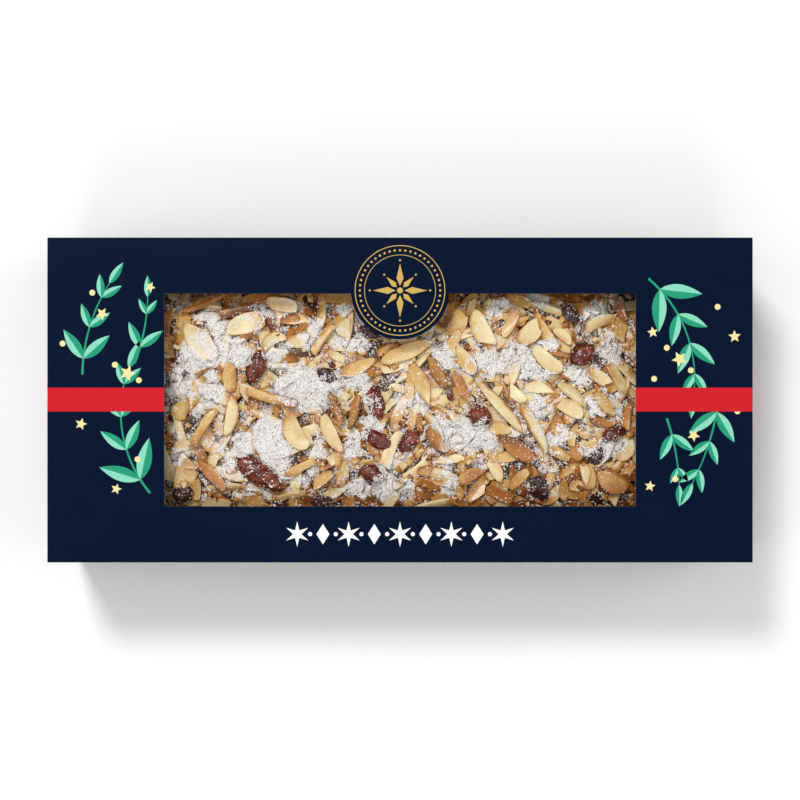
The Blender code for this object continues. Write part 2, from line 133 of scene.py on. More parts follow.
def choose(obj, test, kind="VERT"):
    """In edit mode, selects the vertices or faces that pass the test."""
    bpy.ops.mesh.select_mode(type=kind)
    bpy.ops.mesh.select_all(action="DESELECT")
    bm = bmesh.from_edit_mesh(obj.data)
    for item in bm.verts if kind == "VERT" else bm.faces:
        if test(item):
            item.select_set(True)
    bm.select_flush_mode()
    bmesh.update_edit_mesh(obj.data)


def apply_modifier(obj, kind, **settings):
    take(obj)
    modifier = obj.modifiers.new(kind.lower(), kind)
    for key, value in settings.items():
        setattr(modifier, key, value)
    bpy.ops.object.modifier_apply(modifier=modifier.name)


def set_down(obj):
    """Puts the object's place, turn and size into its mesh."""
    take(obj)
    bpy.ops.object.transform_apply(location=True, rotation=True, scale=True)


def arrays_of(obj):
    """The object's points and triangles, after which the object goes."""
    mesh = obj.data
    mesh.calc_loop_triangles()
    points = np.zeros(len(mesh.vertices) * 3)
    mesh.vertices.foreach_get("co", points)
    faces = np.zeros(len(mesh.loop_triangles) * 3, np.int32)
    mesh.loop_triangles.foreach_get("vertices", faces)
    bpy.data.objects.remove(obj)
    return points.reshape(-1, 3), faces.reshape(-1, 3)


def mesh_piece(name, points, faces, finish, smooth=True, **attributes):
    """A new piece from arrays of points and triangles, with float attributes on its points."""
    mesh = bpy.data.meshes.new(name)
    mesh.vertices.add(len(points))
    mesh.vertices.foreach_set("co", np.asarray(points, np.float32).ravel())
    faces = np.asarray(faces, np.int32)
    sides = faces.shape[1]
    mesh.loops.add(faces.size)
    mesh.loops.foreach_set("vertex_index", faces.ravel())
    mesh.polygons.add(len(faces))
    mesh.polygons.foreach_set("loop_start", np.arange(0, faces.size, sides, dtype=np.int32))
    mesh.update(calc_edges=True)
    for key, values in attributes.items():
        layer = mesh.attributes.new(key, "FLOAT", "POINT")
        layer.data.foreach_set("value", np.asarray(values, np.float32))
    if smooth:
        mesh.shade_smooth()
    mesh.materials.append(finish)
    obj = bpy.data.objects.new(name, mesh)
    bpy.context.scene.collection.objects.link(obj)
    return obj


def settle_in(obj, slot, *nodes):
    """The piece rides on the pack, and stands for the nodes given."""
    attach(obj, "root")
    if nodes:
        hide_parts(*nodes)
    return obj


# ------------------------------------------------------------------ finishes


class Finish:
    """A material's node tree, with short calls for the nodes used here."""

    def __init__(self, name, colour, roughness, specular=0.5):
        self.material = bpy.data.materials.new(name)
        self.material.use_nodes = True
        self.tree = self.material.node_tree
        self.shader = self.tree.nodes["Principled BSDF"]
        self.shader.inputs["Base Color"].default_value = (*colour, 1)
        self.shader.inputs["Roughness"].default_value = roughness
        self.shader.inputs["Specular IOR Level"].default_value = specular
        self.place = self.node("ShaderNodeTexCoord").outputs["Object"]

    def node(self, kind, **settings):
        made = self.tree.nodes.new(kind)
        for key, value in settings.items():
            setattr(made, key, value)
        return made

    def link(self, source, target):
        self.tree.links.new(source, target)

    def noise(self, scale, detail=3.0, roughness=0.55, place=None, distortion=0.0):
        made = self.node("ShaderNodeTexNoise")
        self.link(place or self.place, made.inputs["Vector"])
        made.inputs["Scale"].default_value = scale
        made.inputs["Detail"].default_value = detail
        made.inputs["Roughness"].default_value = roughness
        made.inputs["Distortion"].default_value = distortion
        return made.outputs["Fac"]

    def voronoi(self, scale, output="Distance", feature="F1"):
        made = self.node("ShaderNodeTexVoronoi", feature=feature)
        self.link(self.place, made.inputs["Vector"])
        made.inputs["Scale"].default_value = scale
        return made.outputs[output]

    def stretch(self, x, y, z):
        made = self.node("ShaderNodeMapping")
        self.link(self.place, made.inputs["Vector"])
        made.inputs["Scale"].default_value = (x, y, z)
        return made.outputs["Vector"]

    def attribute(self, name):
        return self.node("ShaderNodeAttribute", attribute_name=name).outputs["Fac"]

    def span(self, value, low, high, to_low=0.0, to_high=1.0):
        made = self.node("ShaderNodeMapRange", interpolation_type="SMOOTHSTEP")
        self.link(value, made.inputs["Value"])
        for key, number in (("From Min", low), ("From Max", high), ("To Min", to_low), ("To Max", to_high)):
            made.inputs[key].default_value = number
        return made.outputs["Result"]

    def sum(self, first, second, operation="ADD"):
        made = self.node("ShaderNodeMath", operation=operation)
        for item, socket in ((first, made.inputs[0]), (second, made.inputs[1])):
            if isinstance(item, (int, float)):
                socket.default_value = item
            else:
                self.link(item, socket)
        return made.outputs[0]

    def mix(self, share, first, second):
        made = self.node("ShaderNodeMix", data_type="RGBA")
        self.link(share, made.inputs["Factor"])
        for item, socket in ((first, made.inputs[6]), (second, made.inputs[7])):
            if isinstance(item, tuple):
                socket.default_value = (*item, 1)
            else:
                self.link(item, socket)
        return made.outputs[2]

    def colour(self, source):
        self.link(source, self.shader.inputs["Base Color"])

    def rough(self, source):
        self.link(source, self.shader.inputs["Roughness"])

    def bump(self, height, distance, strength=1.0, lifted=0.0):
        """Relief from a height; lifted turns the shading that share of the way up, as light does that seeps through grains."""
        made = self.node("ShaderNodeBump")
        self.link(height, made.inputs["Height"])
        made.inputs["Distance"].default_value = distance
        made.inputs["Strength"].default_value = strength
        normal = made.outputs["Normal"]
        if lifted:
            blend = self.node("ShaderNodeMix", data_type="VECTOR")
            blend.inputs[0].default_value = lifted
            self.link(normal, blend.inputs[4])
            blend.inputs[5].default_value = (0, 0, 1)
            even = self.node("ShaderNodeVectorMath", operation="NORMALIZE")
            self.link(blend.outputs[1], even.inputs[0])
            normal = even.outputs[0]
        self.link(normal, self.shader.inputs["Normal"])


def printed(name, colour, lighter=0.06, specular=0.02):
    """Offset print on coated board: an even colour, with a trace of the board's fibre."""
    finish = Finish(name, colour, 0.42, specular)
    fibre = finish.noise(900.0, 4.0)
    mottle = finish.noise(35.0, 3.0)
    tint = tuple(min(1.0, c * (1 + lighter) + lighter * 0.01) for c in colour)
    share = finish.sum(finish.span(fibre, 0.35, 0.7), finish.span(mottle, 0.3, 0.7), "MULTIPLY")
    finish.colour(finish.mix(share, colour, tint))
    finish.rough(finish.span(mottle, 0.25, 0.75, 0.36, 0.48))
    finish.bump(fibre, 0.015 * MM, 0.35)
    return finish.material


def raw_board(name, colour):
    """The board's unprinted side and its cut edges."""
    finish = Finish(name, colour, 0.85, 0.2)
    fibre = finish.noise(1400.0, 5.0, 0.7, finish.stretch(0.35, 1.0, 1.0))
    fleck = finish.noise(160.0, 2.0)
    darker = tuple(c * 0.8 for c in colour)
    finish.colour(finish.mix(finish.sum(finish.span(fibre, 0.3, 0.7), finish.span(fleck, 0.2, 0.9), "MULTIPLY"), colour, darker))
    finish.bump(fibre, 0.03 * MM, 0.5)
    return finish.material


SUGAR_WHITE = shade(250, 245, 240)
SUGAR_SHADE = shade(240, 232, 224)
# Painted shade between the grains of sugar, brown as the bed below it.
SUGAR_GAP_SHADE = shade(142, 120, 102)


def sugar_over(finish, base, strength=1.0):
    """Icing sugar on a surface: grains that thicken with the piece's sugar attribute."""
    amount = finish.attribute("sugar")
    grain = finish.noise(2600.0, 2.0, 0.6)
    clump = finish.noise(520.0, 3.0, 0.6)
    heap = finish.sum(finish.sum(grain, 0.55, "MULTIPLY"), finish.sum(clump, 0.45, "MULTIPLY"))
    cover = finish.sum(finish.sum(amount, strength, "MULTIPLY"), heap)
    share = finish.span(cover, 1.16, 1.24)
    finish.colour(finish.mix(share, base, finish.mix(finish.span(clump, 0.3, 0.6), SUGAR_SHADE, SUGAR_WHITE)))
    return share, grain


def almond(name, pale, flesh, toasted, toast_from, gloss):
    """Almond flesh, browner at the rim, toward one side and in some pieces all over, and browner toward the window's
    rim as painted shade, under icing sugar.
    """
    finish = Finish(name, flesh, gloss, 0.55)
    streak = finish.noise(700.0, 4.0, 0.6)
    cloud = finish.noise(170.0, 3.0)
    patchy = finish.span(finish.noise(210.0, 2.0), 0.38, 0.62, 0.2, 1.0)
    rim = finish.sum(finish.attribute("rim"), patchy, "MULTIPLY")
    brown = finish.sum(finish.sum(rim, 0.55, "MULTIPLY"), finish.sum(finish.attribute("tone"), 0.55, "MULTIPLY"))
    brown = finish.sum(brown, finish.sum(finish.attribute("side"), 0.75, "MULTIPLY"))
    brown = finish.sum(brown, finish.sum(cloud, 1.1, "MULTIPLY"))
    base = finish.mix(finish.span(brown, toast_from - 0.55, toast_from), pale, flesh)
    base = finish.mix(finish.span(brown, toast_from, toast_from + 0.65), base, toasted)
    deep = tuple(c * 0.66 for c in toasted)
    base = finish.mix(finish.span(streak, 0.55, 0.8, 0.0, 0.4), base, deep)
    share, grain = sugar_over(finish, base)
    finish.rough(finish.span(share, 0.0, 1.0, gloss, 0.9))
    height = finish.sum(finish.sum(streak, 0.5, "MULTIPLY"), finish.sum(share, grain, "MULTIPLY"))
    height = finish.sum(height, finish.sum(cloud, 1.2, "MULTIPLY"))
    finish.bump(height, 0.14 * MM, 0.7)
    return finish.material


def dark_skin(name, skin, ridge_brown_and_highlight, gloss, scale):
    """The skin of a nut or a raisin: dark, lighter brown on its ridges, partly the skin's own colour and partly a
    painted highlight along them, under icing sugar.
    """
    finish = Finish(name, skin, gloss, 0.5)
    vein = finish.noise(scale, 4.0, 0.65, None, 0.6)
    fine = finish.noise(1500.0, 3.0)
    # Lighter ridges: the skin's own brown and a painted highlight.
    base = finish.mix(finish.span(vein, 0.42, 0.68), skin, ridge_brown_and_highlight)
    share, grain = sugar_over(finish, base)
    finish.rough(finish.span(share, 0.0, 1.0, gloss, 0.9))
    height = finish.sum(finish.sum(vein, 0.8, "MULTIPLY"), finish.sum(fine, 0.3, "MULTIPLY"))
    finish.bump(finish.sum(height, finish.sum(share, grain, "MULTIPLY")), 0.14 * MM, 0.7)
    return finish.material


def sugar_finish(name):
    """Icing sugar itself: nearly white, matt, with a soft inner light, and painted shade between its grains, brown
    where it stands for the bed below.
    """
    finish = Finish(name, SUGAR_WHITE, 0.75, 0.35)
    grain = finish.noise(1900.0, 2.0, 0.6)
    cloud = finish.noise(420.0, 3.0)
    # Darker specks and patches: painted shade between grains, brown as the bed below.
    gap_shade = finish.sum(finish.span(grain, 0.39, 0.50), finish.span(cloud, 0.25, 0.52, 0.62, 1.0), "MULTIPLY")
    finish.colour(finish.mix(gap_shade, SUGAR_GAP_SHADE, SUGAR_WHITE))
    finish.bump(grain, 0.12 * MM, 0.9, lifted=0.66)
    return finish.material


def grain_finish(name):
    """Loose grains: white, and lit nearly as one with the drift below them."""
    finish = Finish(name, shade(253, 250, 247), 0.8, 0.3)
    finish.bump(finish.noise(900.0, 2.0), 0.03 * MM, 0.4, lifted=0.72)
    return finish.material


def crust_finish(name, crust, dark, gloss):
    """Baked crust, or the syrup-brown bed of the topping, whose darker browns there are partly syrup and partly painted
    shade between the pieces.
    """
    finish = Finish(name, crust, gloss, 0.4)
    blister = finish.noise(90.0, 5.0, 0.6, None, 0.4)
    pore = finish.noise(620.0, 4.0, 0.7)
    base = finish.mix(finish.span(blister, 0.35, 0.68), crust, dark)
    base = finish.mix(finish.span(pore, 0.58, 0.8, 0.0, 0.5), base, tuple(c * 0.55 for c in dark))
    share, grain = sugar_over(finish, base)
    finish.rough(finish.span(share, 0.0, 1.0, gloss, 0.9))
    height = finish.sum(finish.sum(blister, 1.0, "MULTIPLY"), finish.sum(pore, 0.6, "MULTIPLY"))
    finish.bump(finish.sum(height, finish.sum(share, grain, "MULTIPLY")), 0.3 * MM, 0.7)
    return finish.material


def film_finish(name):
    """Clear window film: see-through straight on, and glossier the flatter it is looked along."""
    finish = Finish(name, (0.02, 0.02, 0.02), 0.06, 0.5)
    clear = finish.node("ShaderNodeBsdfTransparent")
    clear.inputs["Color"].default_value = (1, 1, 1, 1)
    facing = finish.node("ShaderNodeLayerWeight").outputs["Facing"]
    shine = finish.sum(finish.sum(facing, 5.0, "POWER"), 0.45, "MULTIPLY")
    blend = finish.node("ShaderNodeMixShader")
    output = finish.tree.nodes["Material Output"]
    finish.link(finish.sum(shine, 0.015), blend.inputs[0])
    finish.link(clear.outputs[0], blend.inputs[1])
    finish.link(finish.shader.outputs[0], blend.inputs[2])
    finish.link(blend.outputs[0], output.inputs["Surface"])
    ripple = finish.noise(28.0, 2.0)
    finish.bump(ripple, 0.25 * MM, 0.3)
    return finish.material


navy_print = printed("navy_print", NAVY, 0.10)
red_print = printed("red_print", RED)
white_print = printed("white_print", WHITE)
gold_print = printed("gold_print", GOLD, 0.06, 0.2)
cream_print = printed("cream_print", CREAM)
mint_print = printed("mint_print", MINT)
teal_print = printed("teal_print", TEAL)
forest_print = printed("forest_print", FOREST)
board_edge = raw_board("board_edge", shade(196, 196, 198))
board_inside = raw_board("board_inside", shade(206, 200, 190))
film_clear = film_finish("clear_window_film")
icing_sugar = sugar_finish("icing_sugar")
loose_sugar = grain_finish("loose_icing_sugar")
# The bed shows in the gaps between the pieces; its dark browns are partly syrup and partly painted shade for those
# gaps.
bed_brown_and_gap_shade = crust_finish("syrup_bed_and_gap_shade", shade(92, 54, 28), shade(44, 24, 14), 0.34)
loaf_crust = crust_finish("baked_loaf_crust", shade(168, 112, 66), shade(118, 68, 38), 0.62)
ALMONDS = {
    "cream": almond("cream_almond", shade(242, 228, 184), shade(230, 205, 150), shade(196, 138, 66), 0.88, 0.34),
    "golden": almond("golden_almond", shade(232, 206, 148), shade(214, 170, 98), shade(174, 108, 42), 0.80, 0.30),
    "toasted": almond("toasted_almond", shade(212, 162, 88), shade(184, 120, 50), shade(122, 66, 22), 0.72, 0.28),
}
# The second colour of each skin, on its ridges, is partly a painted highlight.
nut_skin = dark_skin("nut_skin", shade(84, 26, 18), shade(150, 70, 44), 0.26, 260.0)
raisin_skin = dark_skin("raisin_skin", shade(44, 22, 24), shade(96, 52, 44), 0.34, 420.0)

# -------------------------------------------------------------------- carton


def fold_carton():
    """The folded board: a sleeve with a die-cut window, and a tucked panel at each end."""
    deselect()
    bpy.ops.mesh.primitive_cube_add(size=1, location=(0, 0, (TALL + SKIN) / 2))
    sleeve = bpy.context.object
    sleeve.scale = (2 * LONG, 2 * WIDE, TALL - SKIN)
    set_down(sleeve)
    edit(sleeve)
    choose(sleeve, lambda face: abs(face.normal.x) > 0.5, "FACE")
    bpy.ops.mesh.delete(type="FACE")
    bpy.ops.mesh.select_mode(type="EDGE")
    bpy.ops.mesh.select_all(action="DESELECT")
    bm = bmesh.from_edit_mesh(sleeve.data)
    for edge in bm.edges:
        along = edge.verts[0].co - edge.verts[1].co
        edge.select_set(abs(along.x) > LONG)
    bmesh.update_edit_mesh(sleeve.data)
    bpy.ops.mesh.bevel(offset=0.9 * MM, segments=4, affect="EDGES")
    bpy.ops.mesh.select_all(action="SELECT")
    bpy.ops.mesh.normals_make_consistent(inside=False)
    leave()
    apply_modifier(sleeve, "SOLIDIFY", thickness=BOARD, offset=-1.0, use_even_offset=True)
    deselect()
    bpy.ops.mesh.primitive_cube_add(size=1, location=(0, 0, TALL))
    cutter = bpy.context.object
    cutter.scale = (2 * WINDOW_LONG, 2 * WINDOW_WIDE, 6 * BOARD)
    set_down(cutter)
    deselect()
    bpy.ops.mesh.primitive_cylinder_add(vertices=128, radius=TAB_RADIUS, depth=12 * BOARD, location=(0, TAB_Y, TALL))
    disc = bpy.context.object
    set_down(disc)
    apply_modifier(cutter, "BOOLEAN", object=disc, operation="DIFFERENCE", solver="EXACT")
    bpy.data.objects.remove(disc)
    apply_modifier(sleeve, "BOOLEAN", object=cutter, operation="DIFFERENCE", solver="EXACT")
    bpy.data.objects.remove(cutter)
    parts = [sleeve]
    for side in (-1, 1):
        parts += end_panel(side)
    take(sleeve)
    for part in parts[1:]:
        part.select_set(True)
    bpy.ops.object.join()
    sleeve.name = "printed_carton"
    mesh = sleeve.data
    mesh.materials.clear()
    for finish in (navy_print, board_edge, board_inside):
        mesh.materials.append(finish)
    for face in mesh.polygons:
        face.material_index = board_side(face)
    take(sleeve)
    bpy.ops.object.shade_smooth_by_angle(angle=math.radians(35))
    settle_in(sleeve, "navy_board", "carton")


def end_panel(side):
    """An end panel, hinged on the top, its tucked edge turned in, and the two dust flaps behind it."""
    parts = []
    slit = 0.45 * MM
    half = WIDE - BOARD - slit
    low = SKIN + BOARD + slit
    high = TALL - 0.4 * MM
    deselect()
    bpy.ops.mesh.primitive_cube_add(size=1, location=(side * (LONG - BOARD / 2), 0, (low + high) / 2))
    panel = bpy.context.object
    panel.scale = (BOARD, 2 * half, high - low)
    set_down(panel)
    edit(panel)
    choose(panel, lambda face: face.normal.z < -0.5, "FACE")
    bpy.ops.mesh.extrude_region_move(TRANSFORM_OT_translate={"value": (-side * 0.5 * MM, 0, -0.25 * MM)})
    bpy.ops.mesh.extrude_region_move(TRANSFORM_OT_translate={"value": (-side * 12 * MM, 0, 0.55 * MM)})
    leave()
    apply_modifier(panel, "BEVEL", width=0.12 * MM, segments=2, limit_method="ANGLE")
    parts.append(panel)
    for edge in (-1, 1):
        deselect()
        middle = ((side * (LONG - 3 * BOARD)), edge * (WIDE - 24 * MM), (low + high) / 2)
        bpy.ops.mesh.primitive_cube_add(size=1, location=middle)
        flap = bpy.context.object
        flap.scale = (BOARD, 44 * MM, high - low - 6 * MM)
        set_down(flap)
        edit(flap)
        choose(flap, lambda vert: edge * vert.co.y < WIDE - 40 * MM)
        bpy.ops.transform.resize(value=(1, 1, 0.82))
        leave()
        apply_modifier(flap, "BEVEL", width=0.12 * MM, segments=2, limit_method="ANGLE")
        parts.append(flap)
    return parts


def board_side(face):
    """0 for the printed side, 1 for a cut edge, 2 for the inside."""
    centre, normal = face.center, face.normal
    depth = min(LONG - abs(centre.x), WIDE - abs(centre.y), TALL - centre.z, centre.z - SKIN)
    outward = normal.dot((centre - Vector((0, 0, TALL / 2))).normalized())
    if depth < 0.35 * MM and outward > 0 and max(abs(n) for n in normal) * 1.0 > 0.0:
        edge_on = abs(normal.x) > 0.9 and LONG - abs(centre.x) < 0.02 * MM and BOARD > WIDE - abs(centre.y)
        in_window = abs(centre.x) < WINDOW_LONG + MM and abs(normal.z) < 0.3 and centre.z > TALL - BOARD and abs(centre.y) < WIDE - 5 * MM
        return 1 if edge_on or in_window else 0
    if abs(centre.x) < WINDOW_LONG + MM and abs(normal.z) < 0.3 and centre.z > TALL - 1.2 * BOARD and abs(centre.y) < WIDE - 5 * MM:
        return 1
    if LONG - abs(centre.x) < 0.02 * MM and abs(normal.x) > 0.9:
        return 1 if depth < 0.01 * MM and min(WIDE - abs(centre.y), TALL - centre.z, centre.z - SKIN) < 1.2 * BOARD else 0
    return 2


fold_carton()


def stretch_film():
    """The film: one thin sheet under the board, with the slight waves of a glued window."""
    deselect()
    bpy.ops.mesh.primitive_grid_add(x_subdivisions=72, y_subdivisions=36, size=2)
    film = bpy.context.object
    film.name = "stretched_film"
    film.scale = (film_high.x, film_high.y, 1)
    set_down(film)
    middle = film_high.z - 0.12 * MM
    for vert in film.data.vertices:
        edge = min(WINDOW_LONG - abs(vert.co.x), WINDOW_WIDE - abs(vert.co.y)) / (6 * MM)
        slack = max(0.0, min(1.0, edge))
        wave = noise.noise(Vector((vert.co.x * 34, vert.co.y * 48, 3.0)))
        vert.co.z = middle + wave * 0.10 * MM * slack - 0.10 * MM * slack
    apply_modifier(film, "SOLIDIFY", thickness=0.05 * MM, offset=0.0)
    film.data.materials.append(film_clear)
    film.data.shade_smooth()
    settle_in(film, "clear_film", "window_film")


stretch_film()

# --------------------------------------------------------------------- print


def ink(name, outlines, finish, level=0):
    """Flat shapes of ink on the top panel, each an outline of (x, y) that runs counter-clockwise."""
    bottom = TALL + 0.004 * MM + level * 0.012 * MM
    top = bottom + INK * 0.35
    bm = bmesh.new()
    for outline in outlines:
        low = [bm.verts.new((x, y, bottom)) for x, y in outline]
        high = [bm.verts.new((x, y, top)) for x, y in outline]
        bm.faces.new(high)
        bm.faces.new(reversed(low))
        for i in range(len(low)):
            j = (i + 1) % len(low)
            bm.faces.new((low[i], low[j], high[j], high[i]))
    bmesh.ops.recalc_face_normals(bm, faces=bm.faces)
    mesh = bpy.data.meshes.new(name)
    bm.to_mesh(mesh)
    bm.free()
    mesh.materials.append(finish)
    obj = bpy.data.objects.new(name, mesh)
    bpy.context.scene.collection.objects.link(obj)
    return settle_in(obj, "navy_board")


def turned(points, x, y, turn, size=1.0):
    """The points scaled, turned by an angle in radians, and moved to (x, y)."""
    cos, sin = math.cos(turn) * size, math.sin(turn) * size
    return [(x + px * cos - py * sin, y + px * sin + py * cos) for px, py in points]


def ring_pair(radius, width, steps=96):
    """A ring as quads, each an outline of its own."""
    quads = []
    for i in range(steps):
        a, b = 2 * math.pi * i / steps, 2 * math.pi * (i + 1) / steps
        inner, outer = radius - width / 2, radius + width / 2
        quads.append(
            [
                (inner * math.cos(a), TAB_Y + inner * math.sin(a)),
                (outer * math.cos(a), TAB_Y + outer * math.sin(a)),
                (outer * math.cos(b), TAB_Y + outer * math.sin(b)),
                (inner * math.cos(b), TAB_Y + inner * math.sin(b)),
            ]
        )
    return quads


def disc(x, y, radius, steps=16):
    return [(x + radius * math.cos(2 * math.pi * i / steps), y + radius * math.sin(2 * math.pi * i / steps)) for i in range(steps)]


def star(x, y, outer, inner, points, turn=0.0):
    """A star's outline."""
    outline = []
    for i in range(2 * points):
        angle = turn + math.pi * i / points
        radius = outer if i % 2 == 0 else inner
        outline.append((x + radius * math.cos(angle), y + radius * math.sin(angle)))
    return outline


def leaf_halves(length, width, steps=9):
    """A pointed leaf that starts at the origin and runs along +X, as its two halves."""
    halves = []
    for side in (1, -1):
        rib = [(length * i / steps, 0.0) for i in range(steps + 1)]
        edge = []
        for i in range(1, steps):
            share = i / steps
            swell = math.sin(math.pi * share ** 0.85) ** 0.9
            edge.append((length * share, side * width / 2 * swell))
        outline = [rib[0], rib[-1]] + edge[::-1] if side > 0 else [rib[0]] + edge + [rib[-1]]
        halves.append(outline)
    return halves


def frond(base, heading, length, bend, pairs, leaf, lights, darks, ribs):
    """A twig of pointed leaves: adds its leaf halves and its stem to the lists given."""
    x, y = base
    turn = heading
    steps = pairs * 4
    stem = [(x, y, turn)]
    for _ in range(steps):
        x += length / steps * math.cos(turn)
        y += length / steps * math.sin(turn)
        turn += bend / steps
        stem.append((x, y, turn))
    for i in range(steps):
        ax, ay, at = stem[i]
        bx, by, bt = stem[i + 1]
        wide = 0.42 * MM * (1 - 0.6 * i / steps)
        ribs.append(
            [
                (ax + wide * math.sin(at), ay - wide * math.cos(at)),
                (bx + wide * math.sin(bt), by - wide * math.cos(bt)),
                (bx - wide * math.sin(bt), by + wide * math.cos(bt)),
                (ax - wide * math.sin(at), ay + wide * math.cos(at)),
            ]
        )
    for pair in range(1, pairs + 1):
        x, y, turn = stem[pair * 4 - 2]
        size = leaf * (1.0 - 0.42 * pair / pairs) * (0.85 + 0.15 * (pair % 2))
        for side in (1, -1):
            spread = side * math.radians(46 - 14 * pair / pairs)
            upper, lower = leaf_halves(size, size * 0.34)
            lights.append(turned(upper, x, y, turn + spread))
            darks.append(turned(lower, x, y, turn + spread))
    x, y, turn = stem[-1]
    upper, lower = leaf_halves(leaf * 0.62, leaf * 0.2)
    lights.append(turned(upper, x, y, turn))
    darks.append(turned(lower, x, y, turn))


def print_band():
    """The red band: from the window's sides over both ends and along the back."""
    thick = INK * 0.35
    low_y, high_y = BAND_Y - BAND_WIDTH / 2, BAND_Y + BAND_WIDTH / 2
    bm = bmesh.new()
    runs = []
    for side in (-1, 1):
        near, far = sorted((side * (WINDOW_LONG + 0.05 * MM), side * (LONG - 0.05 * MM)))
        runs.append(((near, low_y, TALL + 0.002 * MM), (far, high_y, TALL + 0.028 * MM + thick)))
        inner, outer = sorted((side * (LONG + 0.002 * MM), side * (LONG + 0.002 * MM + thick)))
        runs.append(((inner, low_y, SKIN + BOARD + 0.5 * MM), (outer, high_y, TALL - 0.5 * MM)))
    back = SKIN - 0.002 * MM
    runs.append(((-LONG + 0.05 * MM, low_y, back - thick), (LONG - 0.05 * MM, high_y, back)))
    for low, high in runs:
        low, high = Vector(low), Vector(high)
        size = Matrix.Diagonal((*(high - low), 1.0))
        bmesh.ops.create_cube(bm, size=1.0, matrix=Matrix.Translation((low + high) / 2) @ size)
    mesh = bpy.data.meshes.new("red_ribbon_band")
    bm.to_mesh(mesh)
    bm.free()
    mesh.materials.append(red_print)
    band = bpy.data.objects.new("red_ribbon_band", mesh)
    bpy.context.scene.collection.objects.link(band)
    settle_in(band, "navy_board")


def print_sprigs():
    """A twig of pointed leaves on each side field, with small cream stars; the band crosses it."""
    lights, darks, ribs, stars, dots = [], [], [], [], []
    left = math.radians(128)
    frond((-88.5 * MM, -33.0 * MM), left, 47 * MM, -1.05, 4, 17.0 * MM, lights, darks, ribs)
    frond((-112.5 * MM, 9.0 * MM), math.radians(88), 34 * MM, -0.55, 3, 14.5 * MM, lights, darks, ribs)
    frond((-94.0 * MM, 13.0 * MM), math.radians(70), 24 * MM, 0.35, 2, 12.5 * MM, lights, darks, ribs)
    frond((88.0 * MM, 43.0 * MM), math.radians(-42), 44 * MM, -0.95, 4, 17.0 * MM, lights, darks, ribs)
    frond((113.0 * MM, 1.0 * MM), math.radians(-98), 32 * MM, -0.35, 3, 14.5 * MM, lights, darks, ribs)
    frond((94.5 * MM, -6.5 * MM), math.radians(-72), 24 * MM, -0.3, 2, 12.5 * MM, lights, darks, ribs)
    for x, y, size in (
        (-96.5, 9.5, 2.9), (-105.5, 30.5, 2.4), (-88.5, 40.0, 2.0), (-113.0, -8.5, 2.2), (-100.5, -31.5, 2.0),
        (99.0, 14.5, 2.9), (118.5, 22.5, 2.3), (89.5, 24.0, 2.0), (104.0, -12.5, 2.3), (88.5, -30.5, 2.0),
    ):
        stars.append(star(x * MM, y * MM, size * MM, size * 0.45 * MM, 5, 0.3 * x))
    for x, y in (
        (-101.0, 12.5), (-92.5, 7.0), (-109.0, 38.0), (-116.5, 3.0), (-93.0, -21.0), (-119.5, 20.0),
        (94.5, 18.5), (103.0, 10.5), (112.5, 33.0), (119.5, -4.0), (97.5, -28.0), (90.0, 7.5),
    ):
        dots.append(disc(x * MM, y * MM, 1.05 * MM, 18))
    ink("sprig_stems", ribs, teal_print, -0.5)
    ink("sprig_leaves_light", lights, mint_print, -0.2)
    ink("sprig_leaves_dark", darks, teal_print, -0.2)
    ink("sprig_stars", stars, cream_print, 0.1)
    ink("sprig_dots", dots, cream_print, 0.1)


def print_emblem():
    """A plain eight-rayed ornament inside two fine rings and a ring of dots, on the round tab."""
    shapes = ring_pair(15.9 * MM, 0.30 * MM) + ring_pair(12.6 * MM, 0.22 * MM)
    for i in range(48):
        angle = 2 * math.pi * i / 48
        shapes.append(disc(14.25 * MM * math.cos(angle), TAB_Y + 14.25 * MM * math.sin(angle), 0.42 * MM, 10))
    for i in range(8):
        angle = math.pi * i / 4 + math.pi / 2
        reach, wide = (9.6, 1.25) if i % 2 == 0 else (6.8, 1.0)
        lozenge = [(1.6 * MM, 0), (reach * 0.45 * MM, -wide * MM), (reach * MM, 0), (reach * 0.45 * MM, wide * MM)]
        shapes.append(turned(lozenge, 0, TAB_Y, angle))
        tip = (reach + 1.1) * MM
        shapes.append(disc(tip * math.cos(angle), TAB_Y + tip * math.sin(angle), 0.38 * MM, 10))
    shapes.append(disc(0, TAB_Y, 1.05 * MM, 20))
    ink("tab_ornament", shapes, gold_print, 1)


def print_border_row():
    """A row of white stars and lozenges under the window."""
    shapes = []
    middle = -47.5 * MM
    for i in range(-4, 5):
        x = i * 9.1 * MM
        if i % 2 == 0:
            shapes.append(star(x, middle, 4.5 * MM, 1.5 * MM, 6, math.pi / 2))
        else:
            shapes.append([(x - 2.3 * MM, middle), (x, middle - 3.6 * MM), (x + 2.3 * MM, middle), (x, middle + 3.6 * MM)])
    for i in range(-4, 4):
        shapes.append(disc((i + 0.5) * 9.1 * MM, middle, 0.75 * MM, 14))
    ink("white_border_row", shapes, white_print, 1)


print_band()
print_sprigs()
print_emblem()
print_border_row()

# -------------------------------------------------------- relief of the topping

CELL = 0.5 * MM
REACH_X = topping_high.x
REACH_Y = topping_high.y
COLUMNS = int(2 * REACH_X / CELL) + 1
ROWS = int(2 * REACH_Y / CELL) + 1
grid_x = np.linspace(-REACH_X, REACH_X, COLUMNS)
grid_y = np.linspace(-REACH_Y, REACH_Y, ROWS)


def tree_of(*names):
    """A ray tree over CAD nodes."""
    points, faces = [], []
    for name in names:
        mesh = frame["nodes"][name].data
        first = len(points)
        points += [vert.co.copy() for vert in mesh.vertices]
        faces += [tuple(first + v for v in face.vertices) for face in mesh.polygons]
    return BVHTree.FromPolygons(points, faces)


def looked_down(tree, xs, ys, otherwise):
    """The height of the first surface that a ray from above meets over each point."""
    found = np.full(len(xs), otherwise)
    down = Vector((0, 0, -1))
    for i, (x, y) in enumerate(zip(xs, ys)):
        hit = tree.ray_cast(Vector((x, y, TALL)), down)
        if hit[0]:
            found[i] = hit[0].z
    return found


